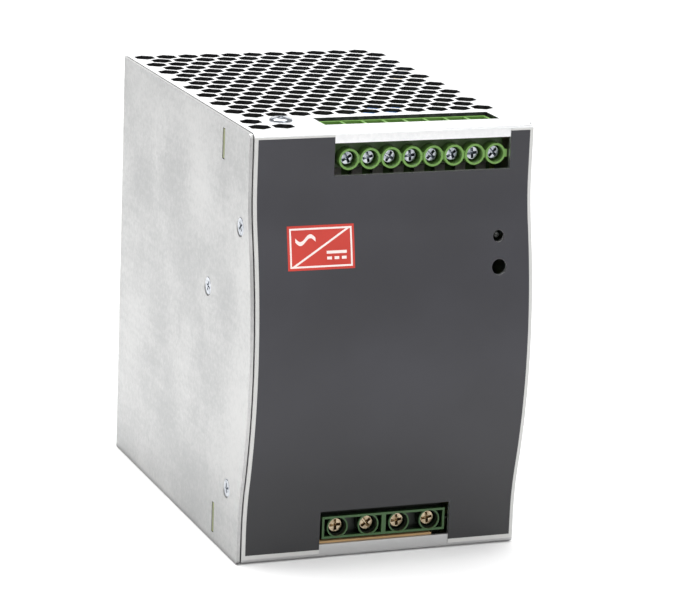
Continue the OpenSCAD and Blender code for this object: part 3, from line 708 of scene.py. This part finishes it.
# painted shade: the field darkens towards the bottom, where the bow turns away from the light
field = ink.blend(height.ramp(0, 60, 1, 0), field, rgb(38, 38, 40))
settle(film, "case", ink.drive(Base_Color=ink.blend(margin, field, rgb(196, 196, 194)),
                               Roughness=stipple.ramp(0.3, 0.7, 0.40, 0.48),
                               Normal=ink.bump(stipple, 0.008, 0.6)), "label_film", "front_label")

# %% [markdown]
# The badge is a separate sticker in a window of the film. It shows the plain sign of a converter: a
# square cut by a diagonal, with a wave for alternating current above it and a line over three dashes
# for direct current below it. The sign is ink, so it is a pattern of distances in the material.

# %% Badge
badge = front_sticker("front_badge", BADGE_X, BADGE_Z)
soften(badge, 0.04, 1)

ink = Finish("badge_ink")
BADGE_W, BADGE_H = BADGE_X[1] - BADGE_X[0], BADGE_Z[1] - BADGE_Z[0]
u = ink.axis("X") - sum(BADGE_X) / 2
v = ink.axis("Z") - sum(BADGE_Z) / 2


def inside(u_middle, v_middle, width, height):
    """1 inside an upright rectangle of the badge, else 0."""
    return (abs(u - u_middle) < width / 2) * (abs(v - v_middle) < height / 2)


LINE = 0.55
border = inside(0, 0, BADGE_W - 1.4, BADGE_H - 1.4) * (1 - inside(0, 0, BADGE_W - 2.4, BADGE_H - 2.4))
slope = BADGE_H / BADGE_W
diagonal = abs(v - u * slope) < LINE / math.cos(math.atan(slope)) / 2
diagonal = diagonal * inside(0, 0, BADGE_W - 2, BADGE_H - 2)
WAVE_AT, WAVE_LENGTH, WAVE_RISE = (-4.6, 2.2), 6.0, 1.0
phase = (u - WAVE_AT[0]) * (2 * math.pi / WAVE_LENGTH)
wave = abs(v - WAVE_AT[1] - phase.math("SINE", phase) * WAVE_RISE) < LINE
wave = wave * inside(*WAVE_AT, WAVE_LENGTH, 4)
DIRECT_AT, BAR = (4.6, -2.2), 0.8
direct = inside(DIRECT_AT[0], DIRECT_AT[1] + BAR, 6, BAR)
for i in (-1, 0, 1):
    direct = direct + inside(DIRECT_AT[0] + i * 2.2, DIRECT_AT[1] - BAR, 1.4, BAR)
sign = border + diagonal + wave + direct
sign = sign.math("MINIMUM", sign, 1.0)
tone = ink.noise(60, detail=2)
orange = ink.blend(tone.ramp(0.3, 0.7), rgb(184, 44, 30), rgb(194, 50, 36))
settle(badge, "case", ink.drive(Base_Color=ink.blend(sign, orange, rgb(236, 222, 218)),
                                Roughness=ink.noise(2600, detail=2).ramp(0.3, 0.7, 0.38, 0.46)),
       "badge_film", "badge")


# %% [markdown]
# ## Screw terminals
# Each clamp has a captive screw at the bottom of a tower. Turning the screw pulls a square cage up
# against a fixed bar, and the wire between them is held. The towers are thin tubes that grow out of one
# moulded block and are joined by low webs. The output block has eight round towers in a row. The input
# block has four, in two rectangular wells.

# %% Steps that both blocks share
RIM_Y, BLOCK_Y = 1.1, 4.6                            # fronts of the towers and of the block behind them
ENTRY, FOOT = 5.3, 9.5                               # from the screw's axis to the wire side and to the other
CELL_Y, CELL_HALF = (5.9, 16.9), 2.6                 # the room of a clamp cage
rear = BOARD_FRONT - GAP


def row(middle, ways, pitch):
    return [middle + (i - (ways - 1) / 2) * pitch for i in range(ways)]


def raise_towers(piece, places, z, front, diameter):
    towers = bmesh.new()
    for x in places:
        rod(towers, "Y", (x, z), front, BLOCK_Y + 3, diameter)
    combine(piece, towers, "UNION")


def drill(piece, places, z, bore):
    """Bores for the heads. The narrow rods start inside the wide ones, so a web stays behind each head."""
    bores = bmesh.new()
    for x in places:
        rod(bores, "Y", (x, z), -1, 5.1, bore)
        rod(bores, "Y", (x, z), 5, 14, 3.3)
    combine(piece, bores)


def hollow(piece, places, z, cell_half, entry_half, entry_y, entry_z):
    """A cell for each clamp cage, and the entry of its wire behind a skin of 0.1 mm."""
    cells = bmesh.new()
    for x in places:
        block(cells, (x - cell_half, x + cell_half), CELL_Y, (z - CELL_HALF, z + CELL_HALF))
        block(cells, (x - entry_half, x + entry_half), entry_y, entry_z)
    combine(piece, cells)
    soften(piece, 0.16)


# %% Output terminal block
OUT_WAYS, OUT_PITCH, OUT_X, OUT_Z = 8, 6.35, 9.5, 116.7
OUT_TOWER, OUT_BORE = 6.1, 4.8
STEP, LEDGE = 3.3, 1.3                               # the front steps back below the towers
out_at = row(OUT_X, OUT_WAYS, OUT_PITCH)
half = OUT_WAYS * OUT_PITCH / 2 + 0.4
reach = (OUT_X - half, OUT_X + half)

bm = bmesh.new()
prism(bm, "X", [(BLOCK_Y, OUT_Z + ENTRY), (rear, OUT_Z + ENTRY), (rear, OUT_Z - FOOT), (13, OUT_Z - FOOT),
                (13, OUT_Z - STEP), (BLOCK_Y + 1, OUT_Z - STEP), (BLOCK_Y + 1, OUT_Z - LEDGE),
                (BLOCK_Y, OUT_Z - LEDGE)], *reach)
output_block = piece_from(bm, "output_block")
raise_towers(output_block, out_at, OUT_Z, RIM_Y, OUT_TOWER)
webs = bmesh.new()
block(webs, (out_at[0], out_at[-1] + OUT_TOWER / 2 + 0.7), (RIM_Y + 0.35, BLOCK_Y + 2),
      (OUT_Z - 1.1, OUT_Z + 1.1))
combine(output_block, webs, "UNION")
collar = bmesh.new()                                 # it fills the wire opening of the cover
block(collar, reach, (WIRE_OPEN_Y[0] + 0.1, WIRE_OPEN_Y[1] - 0.1), (OUT_Z + ENTRY - 1, CASE_TOP - SHEET))
block(collar, reach, (WIRE_OPEN_Y[1] + 0.1, rear), (OUT_Z + ENTRY - 1, CASE_TOP - SHEET - GAP))
combine(output_block, collar, "UNION")
drill(output_block, out_at, OUT_Z, OUT_BORE)
hollow(output_block, out_at, OUT_Z, CELL_HALF, OUT_PITCH / 2 - 0.45, (WIRE_OPEN_Y[0] + 0.7, 17.4),
       (OUT_Z + 2.5, CASE_TOP))
settle(output_block, "case", output_green, "terminal_green", "output_terminal_housing")

# %% Input terminal block
IN_WAYS, IN_PITCH, IN_X, IN_Z = 4, 9.5, 2.4, 8.5
IN_TOWER, IN_BORE = 6.4, 5.2
WELL_HALF, WELL_WALL = 3.3, 0.65                     # half height of a well, and its wall
in_at = row(IN_X, IN_WAYS, IN_PITCH)
half = IN_WAYS * IN_PITCH / 2
reach = (IN_X - half, IN_X + half)

bm = bmesh.new()
block(bm, reach, (BLOCK_Y, rear), (IN_Z - ENTRY, IN_Z + FOOT))
input_block = piece_from(bm, "input_block")
walls = bmesh.new()
block(walls, reach, (RIM_Y, BLOCK_Y + 1), (IN_Z - WELL_HALF, IN_Z + WELL_HALF))
combine(input_block, walls, "UNION")
wells = bmesh.new()
for side in (-1, 1):
    middle = IN_X + side * half / 2
    block(wells, (middle - half / 2 + WELL_WALL, middle + half / 2 - WELL_WALL), (-1, BLOCK_Y),
          (IN_Z - WELL_HALF + WELL_WALL, IN_Z + WELL_HALF - WELL_WALL))
combine(input_block, wells)
raise_towers(input_block, in_at, IN_Z, RIM_Y + 0.15, IN_TOWER)
drill(input_block, in_at, IN_Z, IN_BORE)
mouths = bmesh.new()
for x in in_at:
    rod(mouths, "Y", (x, IN_Z), -1, 2.9, IN_BORE + 0.4)
combine(input_block, mouths)
hollow(input_block, in_at, IN_Z, 3.8, IN_PITCH / 2 - 0.6, (WIRE_OPEN_Y[0] + 0.9, 18.6),
       (IN_Z - ENTRY - 1, IN_Z - 2.5))
settle(input_block, "case", input_green, "terminal_dark_green", "input_terminal_housing")


# %% [markdown]
# ## Screws
# The clamp screws have a cheese head with a cross recess whose arms taper towards the bottom, and a
# threaded shank. A screw is a turned outline, so it is spun, and the recess is cut into it afterwards.
# Nobody lines the crosses up, so each one is turned to its own angle. The case screws are made the same
# way: two flat heads lie flush in their dimples, and the one on top has a low round head.

# %% Screws
def cross(bm, place, size, width, depth):
    """A cross recess that is narrower at the bottom."""
    quarter_outline = [(size / 2, -width / 2), (size / 2, width / 2), (width / 2, width / 2)]
    outline = [tuple(Matrix.Rotation(turn * QUARTER, 2) @ Vector(point))
               for turn in range(4) for point in quarter_outline]
    made = prism(bm, "Z", outline, 0.4, -depth)
    low = [v for v in made if v.co.z < 0]
    bmesh.ops.scale(bm, vec=(0.5, 0.5, 1), verts=low)
    bmesh.ops.transform(bm, matrix=place, verts=made)


def screw(name, outline, facing, at, turn, recess, body, finish, slot, *nodes):
    """A screw from its outline, as (radius, height) from the tip up; facing turns its own +Z outwards."""
    place = Matrix.Translation(at) @ facing @ Matrix.Rotation(turn, 4, "Z")
    bm = bmesh.new()
    bmesh.ops.transform(bm, matrix=place, verts=turned(bm, outline, "Z", (0, 0), 40))
    piece = piece_from(bm, name)
    top = max(height for radius, height in outline)
    tool = bmesh.new()
    cross(tool, place @ Matrix.Translation((0, 0, top)), *recess)
    combine(piece, tool)
    soften(piece, 0.06)
    settle(piece, body, finish, slot, *nodes)


def case_screw(name, outline, facing, at, turn, recess, node):
    screw(name, outline, facing, at, turn, recess, "case", zinc_screw, "zinc_steel", node)


def thread(radius, start, end, pitch=0.5):
    """The outline of a thread, as rings of the given pitch."""
    points = []
    height = start
    while height + pitch < end:
        points += [(radius - 0.22, height), (radius, height + pitch / 2)]
        height += pitch
    return points + [(radius - 0.22, height)]


TO_FRONT = Matrix.Rotation(QUARTER, 4, "X")
TO_LEFT = Matrix.Rotation(-QUARTER, 4, "Y")
TO_RIGHT = Matrix.Rotation(QUARTER, 4, "Y")
UPRIGHT = Matrix.Identity(4)
UPSIDE_DOWN = Matrix.Rotation(math.pi, 4, "X")
HEAD_Y, HEAD_T, TIP_Y = 3.2, 1.8, 10.9
FLAT_RECESS = (3.4, 0.7, 1.1)                        # size across, width of an arm, depth
angles = random.Random(7)


def clamp_outline(head):
    shank = TIP_Y - HEAD_Y - HEAD_T
    return ([(0, -shank), (1.1, -shank)] + thread(1.5, -shank + 0.3, -0.9)
            + [(1.3, -0.8), (1.3, 0), (head / 2 - 0.1, 0), (head / 2, 0.1), (head / 2, HEAD_T - 0.35),
               (head / 2 - 0.3, HEAD_T - 0.05), (0, HEAD_T)])


for kind, places, z, bore, recess, finish, slot in (
        ("output", out_at, OUT_Z, OUT_BORE, (3.5, 0.85, 1.5), zinc_screw, "zinc_steel"),
        ("input", in_at, IN_Z, IN_BORE, (3.8, 0.9, 1.5), nickel_screw, "nickel_steel")):
    for i, x in enumerate(places, 1):
        screw(f"{kind}_clamp_screw_{i}", clamp_outline(bore - 0.6), TO_FRONT, (x, HEAD_Y + HEAD_T, z),
              angles.uniform(0, QUARTER), recess, f"{kind}_screw_{i}", finish, slot, f"{kind}_screw_{i}")

flat = [(0, -4), (1.2, -4)] + thread(1.5, -3.7, -1.3) + [(1.3, -1.1), (1.4, -1)]
flat += [(2.6, -0.3), (2.45, -0.15), (0, -0.15)]
for kind, facing, x, places in (("side", TO_LEFT, CASE_LEFT, SIDE_SCREWS),
                                ("flange", TO_RIGHT, CASE_RIGHT, FLANGE_SCREWS)):
    for i, (y, z) in enumerate(places, 1):
        case_screw(f"{kind}_screw_{i}", flat, facing, (x, y, z), angles.uniform(0, 1.5), FLAT_RECESS,
                   f"{kind}_screws")
PAN_R, PAN_STEP = 3.3, math.pi / 14
pan = [(0, -3.5), (1.2, -3.5)] + thread(1.5, -3.2, -0.5) + [(1.3, -0.3), (1.3, 0), (PAN_R, 0)]
pan += [(PAN_R * math.cos(i * PAN_STEP), 0.25 + 0.95 * math.sin(i * PAN_STEP)) for i in range(8)]
case_screw("top_screw", pan, UPRIGHT, (*BOSS, CASE_TOP), 0.5, (3.6, 0.8, 1.0), "cover_screws")
case_screw("bottom_screw", flat, UPSIDE_DOWN, (*BOSS, 0), 0.9, FLAT_RECESS, "cover_screws")


# %% [markdown]
# ## Parts that the CAD already draws right
# Folded plates, contacts and boards have their real shape in the CAD model, but razor-sharp edges. Each
# of those gets a copy whose triangles are merged back into whole faces, so that a bevel can break its
# edges as a press or a saw leaves them.

# %% Refined copies
def refined(name, node, body, finish, slot, width=0.12, segments=2, add=None):
    """A copy of a CAD node with whole faces and soft edges; add(bm) may draw more, in case millimetres."""
    bm = bmesh.new()
    bm.from_mesh(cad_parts[node].data)
    bmesh.ops.remove_doubles(bm, verts=bm.verts, dist=1e-6)
    bmesh.ops.dissolve_limit(bm, angle_limit=math.radians(1), verts=bm.verts, edges=bm.edges)
    bmesh.ops.translate(bm, vec=(0, -FRONT_Y * MM, 0), verts=bm.verts)
    bmesh.ops.scale(bm, vec=(1 / MM, 1 / MM, 1 / MM), verts=bm.verts)
    if add:
        add(bm)
    piece = piece_from(bm, name)
    soften(piece, width, segments)
    piece.data.set_sharp_from_angle(angle=math.radians(30))
    settle(piece, body, finish, slot, node)


for kind, ways in (("output", OUT_WAYS), ("input", IN_WAYS)):
    for i in range(1, ways + 1):
        refined(f"{kind}_clamp_cage_{i}", f"{kind}_cage_{i}", f"{kind}_cage_{i}", tin, "tinned_copper")
for kind in ("output", "input"):
    refined(f"{kind}_contact_bars", f"{kind}_contacts", "case", tin, "tinned_copper")
refined("terminal_insulator_strip", "terminal_insulator", "case", insulator_board, "insulating_board",
        0.08)
refined("insulating_film", "insulation_sheet", "case", insulator_film, "insulating_film", 0.05, 1)
refined("hex_standoffs", "board_standoffs", "case", brass, "brass", 0.2)

# %% [markdown]
# ## Lamp and trimmer
# The lamp is a moulded epoxy dome with a rim, and it stands on a spacer tube. The trimmer is a small
# square part whose slotted disc is turned with a screwdriver through its hole in the front.

# %% Lamp and trimmer
LAMP_TIP, LAMP_R, LAMP_FOOT, SPACER_END = -1.2, 1.45, 4.8, 21.2
STEPS = 8
lamp_at = (CONTROL_X, LAMP_Z)
dome = [(LAMP_R * math.sin(i * QUARTER / STEPS), LAMP_TIP + LAMP_R * (1 - math.cos(i * QUARTER / STEPS)))
        for i in range(STEPS + 1)]
bm = bmesh.new()
turned(bm, dome + [(LAMP_R, 3.8), (1.9, 3.85), (1.9, LAMP_FOOT), (0, LAMP_FOOT)], "Y", lamp_at, 48)
lamp_dome = piece_from(bm, "lamp_dome")
lamp_dome.data.shade_smooth()
settle(lamp_dome, "case", lamp_lens, "lamp_lens", "lamp")
bm = bmesh.new()
turned(bm, [(0, LAMP_FOOT), (1.7, LAMP_FOOT), (1.7, 5.6), (1.45, 5.8), (1.45, SPACER_END - 1),
            (1.7, SPACER_END - 0.8), (1.7, SPACER_END), (0, SPACER_END)], "Y", lamp_at, 32)
case_piece(bm, "lamp_spacer", 0.08, black_epoxy, "black_epoxy", "lamp")

refined("trimmer_housing", "trimmer_body", "case", trimmer_blue, "trimmer_blue", 0.3, 3)
refined("trimmer_disc", "trimmer_rotor", "trimmer_rotor", white_plastic, "white_plastic", 0.15, 2)


# %% [markdown]
# ## Inside the case
# The power parts stand out from the main board towards the left panel. They show through the holes as
# dark cans, a yellow coil, copper rings and a pale heat spreader on the side. The one at the back is
# coloured black, as painted shade that keeps the inside of the case dark.

# %% Wire along a path
def wire(bm, points, diameter, closed=False, sides=8):
    """A round wire along a path of points."""
    points = [Vector(p) for p in points]
    count = len(points)
    rings = []
    side = None
    for i, point in enumerate(points):
        before = points[i - 1] if closed or i else point
        after = points[(i + 1) % count] if closed or i < count - 1 else point
        along = (after - before).normalized()
        side = along.orthogonal() if side is None else side - along * side.dot(along)
        side.normalize()
        other = along.cross(side)
        rings.append([bm.verts.new(point + (side * math.cos(a) + other * math.sin(a)) * diameter / 2)
                      for a in (2 * math.pi * k / sides for k in range(sides))])
    made = []
    for i in range(count if closed else count - 1):
        first, second = rings[i], rings[(i + 1) % count]
        for k in range(sides):
            made.append(bm.faces.new((first[k], first[(k + 1) % sides], second[(k + 1) % sides], second[k])))
    if not closed:
        made += [bm.faces.new(rings[0]), bm.faces.new(rings[-1])]
    bmesh.ops.recalc_face_normals(bm, faces=made)


# %% Boards
BOARD_BACK = 35.09

refined("main_circuit_board", "main_board", "case", green_board, "circuit_board", 0.06, 1)
refined("terminal_circuit_board", "terminal_board", "case", olive_board, "circuit_board", 0.06, 1)
bm = bmesh.new()                                     # chip resistors and two flat chips behind the board
for line, y in enumerate((58, 66, 74, 90, 98)):
    for z in range(40, 112, 6):
        if (z + line) % 4:
            block(bm, (BOARD_BACK, 35.7), (y, y + 1.6), (z, z + 3.2))
for y, z in ((48, 70), (30, 92)):
    block(bm, (BOARD_BACK, 36.7), (y, y + 6), (z, z + 10))
case_piece(bm, "chip_parts", 0.1, black_epoxy, "black_epoxy", segments=1)

# %% Transformer
BOARD_X, CORE_X, CORE_LEG = 33.5, (-6.5, 31.5), 6.0
CORE_AT, CORE_HALF = (78, 62), 20.0


def core_bands(bm):
    """Clip bands that hold the two core halves together."""
    for y in (CORE_AT[0] - 8, CORE_AT[0] + 6):
        for z in (CORE_AT[1] - CORE_HALF, CORE_AT[1] + CORE_HALF - 0.5):
            block(bm, CORE_X, (y, y + 2), (z, z + 0.5))


refined("transformer_ferrite", "transformer_core", "case", ferrite, "ferrite", 0.5, 3, core_bands)
bm = bmesh.new()
FLANGE_R, TAPE_R, BANDS = 13.8, 12.5, 7
low, high = CORE_X[0] + CORE_LEG + 0.1, CORE_X[1] - CORE_LEG - 0.1
width = (high - low - 3.2) / BANDS
coil = [(0, low), (FLANGE_R, low), (FLANGE_R, low + 1.4), (TAPE_R + 0.1, low + 1.5)]
for i in range(BANDS):
    start = low + 1.6 + i * width
    coil += [(TAPE_R, start), (TAPE_R + 0.6, start + width * 0.2), (TAPE_R + 0.6, start + width * 0.8),
             (TAPE_R, start + width)]
coil += [(TAPE_R + 0.1, high - 1.5), (FLANGE_R, high - 1.4), (FLANGE_R, high), (0, high)]
turned(bm, coil, "X", CORE_AT, 48)
case_piece(bm, "transformer_coil", 0.15, winding_tape, "winding_tape", "transformer_winding")


# %% Ring chokes
def ring_choke(name, at, outer, inner, depth, groups, turns, gauge, node):
    """A ring core round which copper wire is wound in a number of equal groups."""
    slack, chamfer, share = gauge + 0.2, 0.8, 0.84   # share is the part of a group that the wire covers
    low, high = BOARD_X - depth + slack, BOARD_X - slack
    r_in, r_out = inner / 2 + slack, outer / 2 - slack
    bm = bmesh.new()
    turned(bm, [(r_in, low + chamfer), (r_in + chamfer, low), (r_out - chamfer, low), (r_out, low + chamfer),
                (r_out, high - chamfer), (r_out - chamfer, high), (r_in + chamfer, high),
                (r_in, high - chamfer), (r_in, low + chamfer)], "X", at, 64)
    case_piece(bm, f"{name}_core", 0.2, ferrite, "ferrite", node)
    bm = bmesh.new()
    half = gauge / 2 + 0.02
    section = []
    for first, (corner_r, corner_x) in enumerate(((r_out, high), (r_in, high), (r_in, low), (r_out, low))):
        for k in range(4):
            turn = (first + k / 3) * QUARTER
            section.append((corner_r + half * math.cos(turn), corner_x + half * math.sin(turn)))
    lean = math.pi / groups * share / turns
    for group in range(groups):
        for k in range(turns):
            angle = 2 * math.pi * (group + (1 - share) / 2 + share * (k + 0.5) / turns) / groups
            path = []
            for radius, x in section:
                inside_ring = radius < (r_in + r_out) / 2
                a = angle + (lean if inside_ring else 0) * (1 if x > (low + high) / 2 else -1) / 2
                path.append((x, at[0] + radius * math.cos(a), at[1] + radius * math.sin(a)))
            wire(bm, path, gauge, closed=True)
    copper = piece_from(bm, f"{name}_wire")
    copper.data.shade_smooth()
    settle(copper, "case", enamelled, "enamelled_copper", node)


ring_choke("boost_choke", (40, 46), 30, 12, 16, 1, 22, 1.3, "boost_choke")
ring_choke("line_filter", (41, 19), 22, 9, 13, 2, 8, 1.1, "line_filter_choke")


# %% Capacitors, fuse and transistors
def can(name, at, diameter, height, node):
    """An electrolytic capacitor: a sleeved can with a rolled groove and a scored vent in its bare end."""
    bm = bmesh.new()
    r, end = diameter / 2, BOARD_X - height
    turned(bm, [(0, BOARD_X), (r - 0.6, BOARD_X), (r, BOARD_X - 0.6), (r, BOARD_X - 3),
                (r - 0.8, BOARD_X - 3.6), (r - 0.8, BOARD_X - 4.4), (r, BOARD_X - 5), (r, end + 0.7),
                (r - 0.5, end + 0.15), (r - 1.3, end), (r - 1.3, end + 0.5), (0, end + 0.5)], "X", at, 56)
    case_piece(bm, f"{name}_sleeve", 0.12, black_sleeve, "capacitor_sleeve", node)
    bm = bmesh.new()
    rod(bm, "X", at, end + 0.15, end + 0.5, diameter - 2.7, segments=56)
    lid = piece_from(bm, f"{name}_vent")
    score, width = diameter * 0.3, 0.35
    for y, z in ((score, width), (width, score)):
        tool = bmesh.new()
        block(tool, (end, end + 0.32), (at[0] - y, at[0] + y), (at[1] - z, at[1] + z))
        combine(lid, tool)
    soften(lid, 0.05, 1)
    settle(lid, "case", aluminium, "heatsink_metal", node)


for i, at in enumerate(((41, 84), (84, 22)), 1):
    can(f"bulk_capacitor_{i}", at, 29, 45, "bulk_capacitors")
for i, y in enumerate((34, 48, 62), 1):
    can(f"output_capacitor_{i}", (y, 107), 12.5, 25, "output_capacitors")

for i, (y, z, half_y, half_z, height) in enumerate(((76, 106, 7, 9, 15), (61, 16, 6, 10, 17)), 1):
    bm = bmesh.new()
    block(bm, (BOARD_X - height, BOARD_X - 0.6), (y - half_y, y + half_y), (z - half_z, z + half_z))
    film_cap = piece_from(bm, f"film_capacitor_{i}")
    feet = bmesh.new()
    for foot in (z - half_z + 1.5, z + half_z - 1.5):
        block(feet, (BOARD_X - 1, BOARD_X), (y - half_y + 1, y + half_y - 1), (foot - 0.7, foot + 0.7))
    combine(film_cap, feet, "UNION")
    soften(film_cap, 0.8, 3)
    settle(film_cap, "case", film_blue, "film_capacitor_blue", "film_capacitors")

FUSE_AT, FUSE_R = (29, 33), 2.6                      # (x, z)
bm = bmesh.new()
turned(bm, [(0, 56), (FUSE_R, 56), (FUSE_R, 66), (0, 66)], "Y", FUSE_AT, 32)
case_piece(bm, "fuse_tube", 0.1, ceramic, "fuse_body", "fuse")
bm = bmesh.new()
for low, high in ((53.4, 57.4), (64.6, 68.6)):
    turned(bm, [(0, low), (FUSE_R, low), (FUSE_R + 0.3, low + 0.3), (FUSE_R + 0.3, high - 0.3),
                (FUSE_R, high), (0, high)], "Y", FUSE_AT, 32)
    for z in (30.6, 34.6):
        block(bm, (FUSE_AT[0], BOARD_X), (low + 0.6, high - 0.6), (z, z + 0.8))
case_piece(bm, "fuse_caps", 0.08, tin, "tinned_copper", "fuse", segments=1)

refined("side_heat_spreader", "side_heatsink", "case", aluminium, "heatsink_metal", 0.3)
# painted shade: the rear heat spreader is coloured black so the inside of the case reads dark
refined("rear_heat_spreader", "rear_heatsink", "case", shade_black_metal, "heatsink_metal", 0.25)
CASE_HALF, TAB_HALF, LEG_HALF = 7.8, 6.5, 0.6        # half widths of a transistor's parts
bodies, legs = bmesh.new(), bmesh.new()
for y in (46, 64, 82):
    block(bodies, (-38.2, -33.65), (y - CASE_HALF, y + CASE_HALF), (66, 85))
    block(bodies, (-38.65, -38.2), (y - TAB_HALF, y + TAB_HALF), (67, 83))
    for leg in (y - 5, y, y + 5):
        block(legs, (-36.6, -36.0), (leg - LEG_HALF, leg + LEG_HALF), (55, 66.5))
for x in (-18, 4):
    block(bodies, (x - CASE_HALF, x + CASE_HALF), (96.5, 101.05), (91, 110))
    block(bodies, (x - TAB_HALF, x + TAB_HALF), (101.05, 101.5), (92, 108))
    for leg in (x - 5, x, x + 5):
        block(legs, (leg - LEG_HALF, leg + LEG_HALF), (98.7, 99.3), (80, 91.5))
case_piece(bodies, "transistor_bodies", 0.5, black_epoxy, "black_epoxy", "power_transistors")
case_piece(legs, "transistor_leads", 0.1, tin, "tinned_copper", "power_transistors", segments=1)

# %% [markdown]
# ## Rail clip
# A stamped plate is screwed to the rear wall. It hooks over the top edge of the rail, and a sprung latch
# slides behind the bottom edge. The springs are real coils.

# %% Rail clip
refined("rail_clip_plate", "rail_plate", "case", bright_zinc, "zinc_steel", 0.16)
refined("rail_clip_latch", "rail_latch", "rail_latch", bright_zinc, "zinc_steel", 0.16)
small_flat = [(0, -5), (1.2, -5)] + thread(1.5, -4.7, -1.5) + [(1.3, -1.3), (1.5, -1.2)]
small_flat += [(2.7, -0.05), (2.65, 0), (0, 0)]
TO_REAR = Matrix.Rotation(-QUARTER, 4, "X")
RAIL_Y = 124.5
for i, (x, z) in enumerate(((-17, 16), (17, 16), (-17, 86), (17, 86)), 1):
    case_screw(f"rail_plate_screw_{i}", small_flat, TO_REAR, (x, RAIL_Y, z), angles.uniform(0, 1.5),
               (3.2, 0.65, 1.0), "rail_plate_screws")

COIL_TURNS, COIL_WIRE, COIL_D = 9, 0.45, 3.0
COIL_Y, COIL_Z = RAIL_Y + 0.4, (20.3, 34.0)
STEPS_PER_TURN = 20
r = (COIL_D - COIL_WIRE) / 2
low, high = COIL_Z[0] + COIL_WIRE / 2, COIL_Z[1] - COIL_WIRE / 2
for i, x in enumerate((-7, 7), 1):
    path = []
    for k in range(COIL_TURNS * STEPS_PER_TURN + 1):
        turn = k / STEPS_PER_TURN
        share = min(max((turn - 1) / (COIL_TURNS - 2), 0), 1)
        lift = COIL_WIRE * 1.1 * (min(turn, 1) + max(turn - COIL_TURNS + 1, 0))
        z = low + lift + share * (high - low - 2.2 * COIL_WIRE)
        angle = 2 * math.pi * turn
        path.append((x + r * math.cos(angle), COIL_Y + r * math.sin(angle), z))
    bm = bmesh.new()
    wire(bm, path, COIL_WIRE)
    spring = piece_from(bm, f"latch_spring_{i}")
    spring.data.shade_smooth()
    settle(spring, "case", spring_wire, "spring_steel", "latch_springs")
    anchor = (x * MM, (FRONT_Y + COIL_Y) * MM, COIL_Z[0] * MM)
    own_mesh(spring)
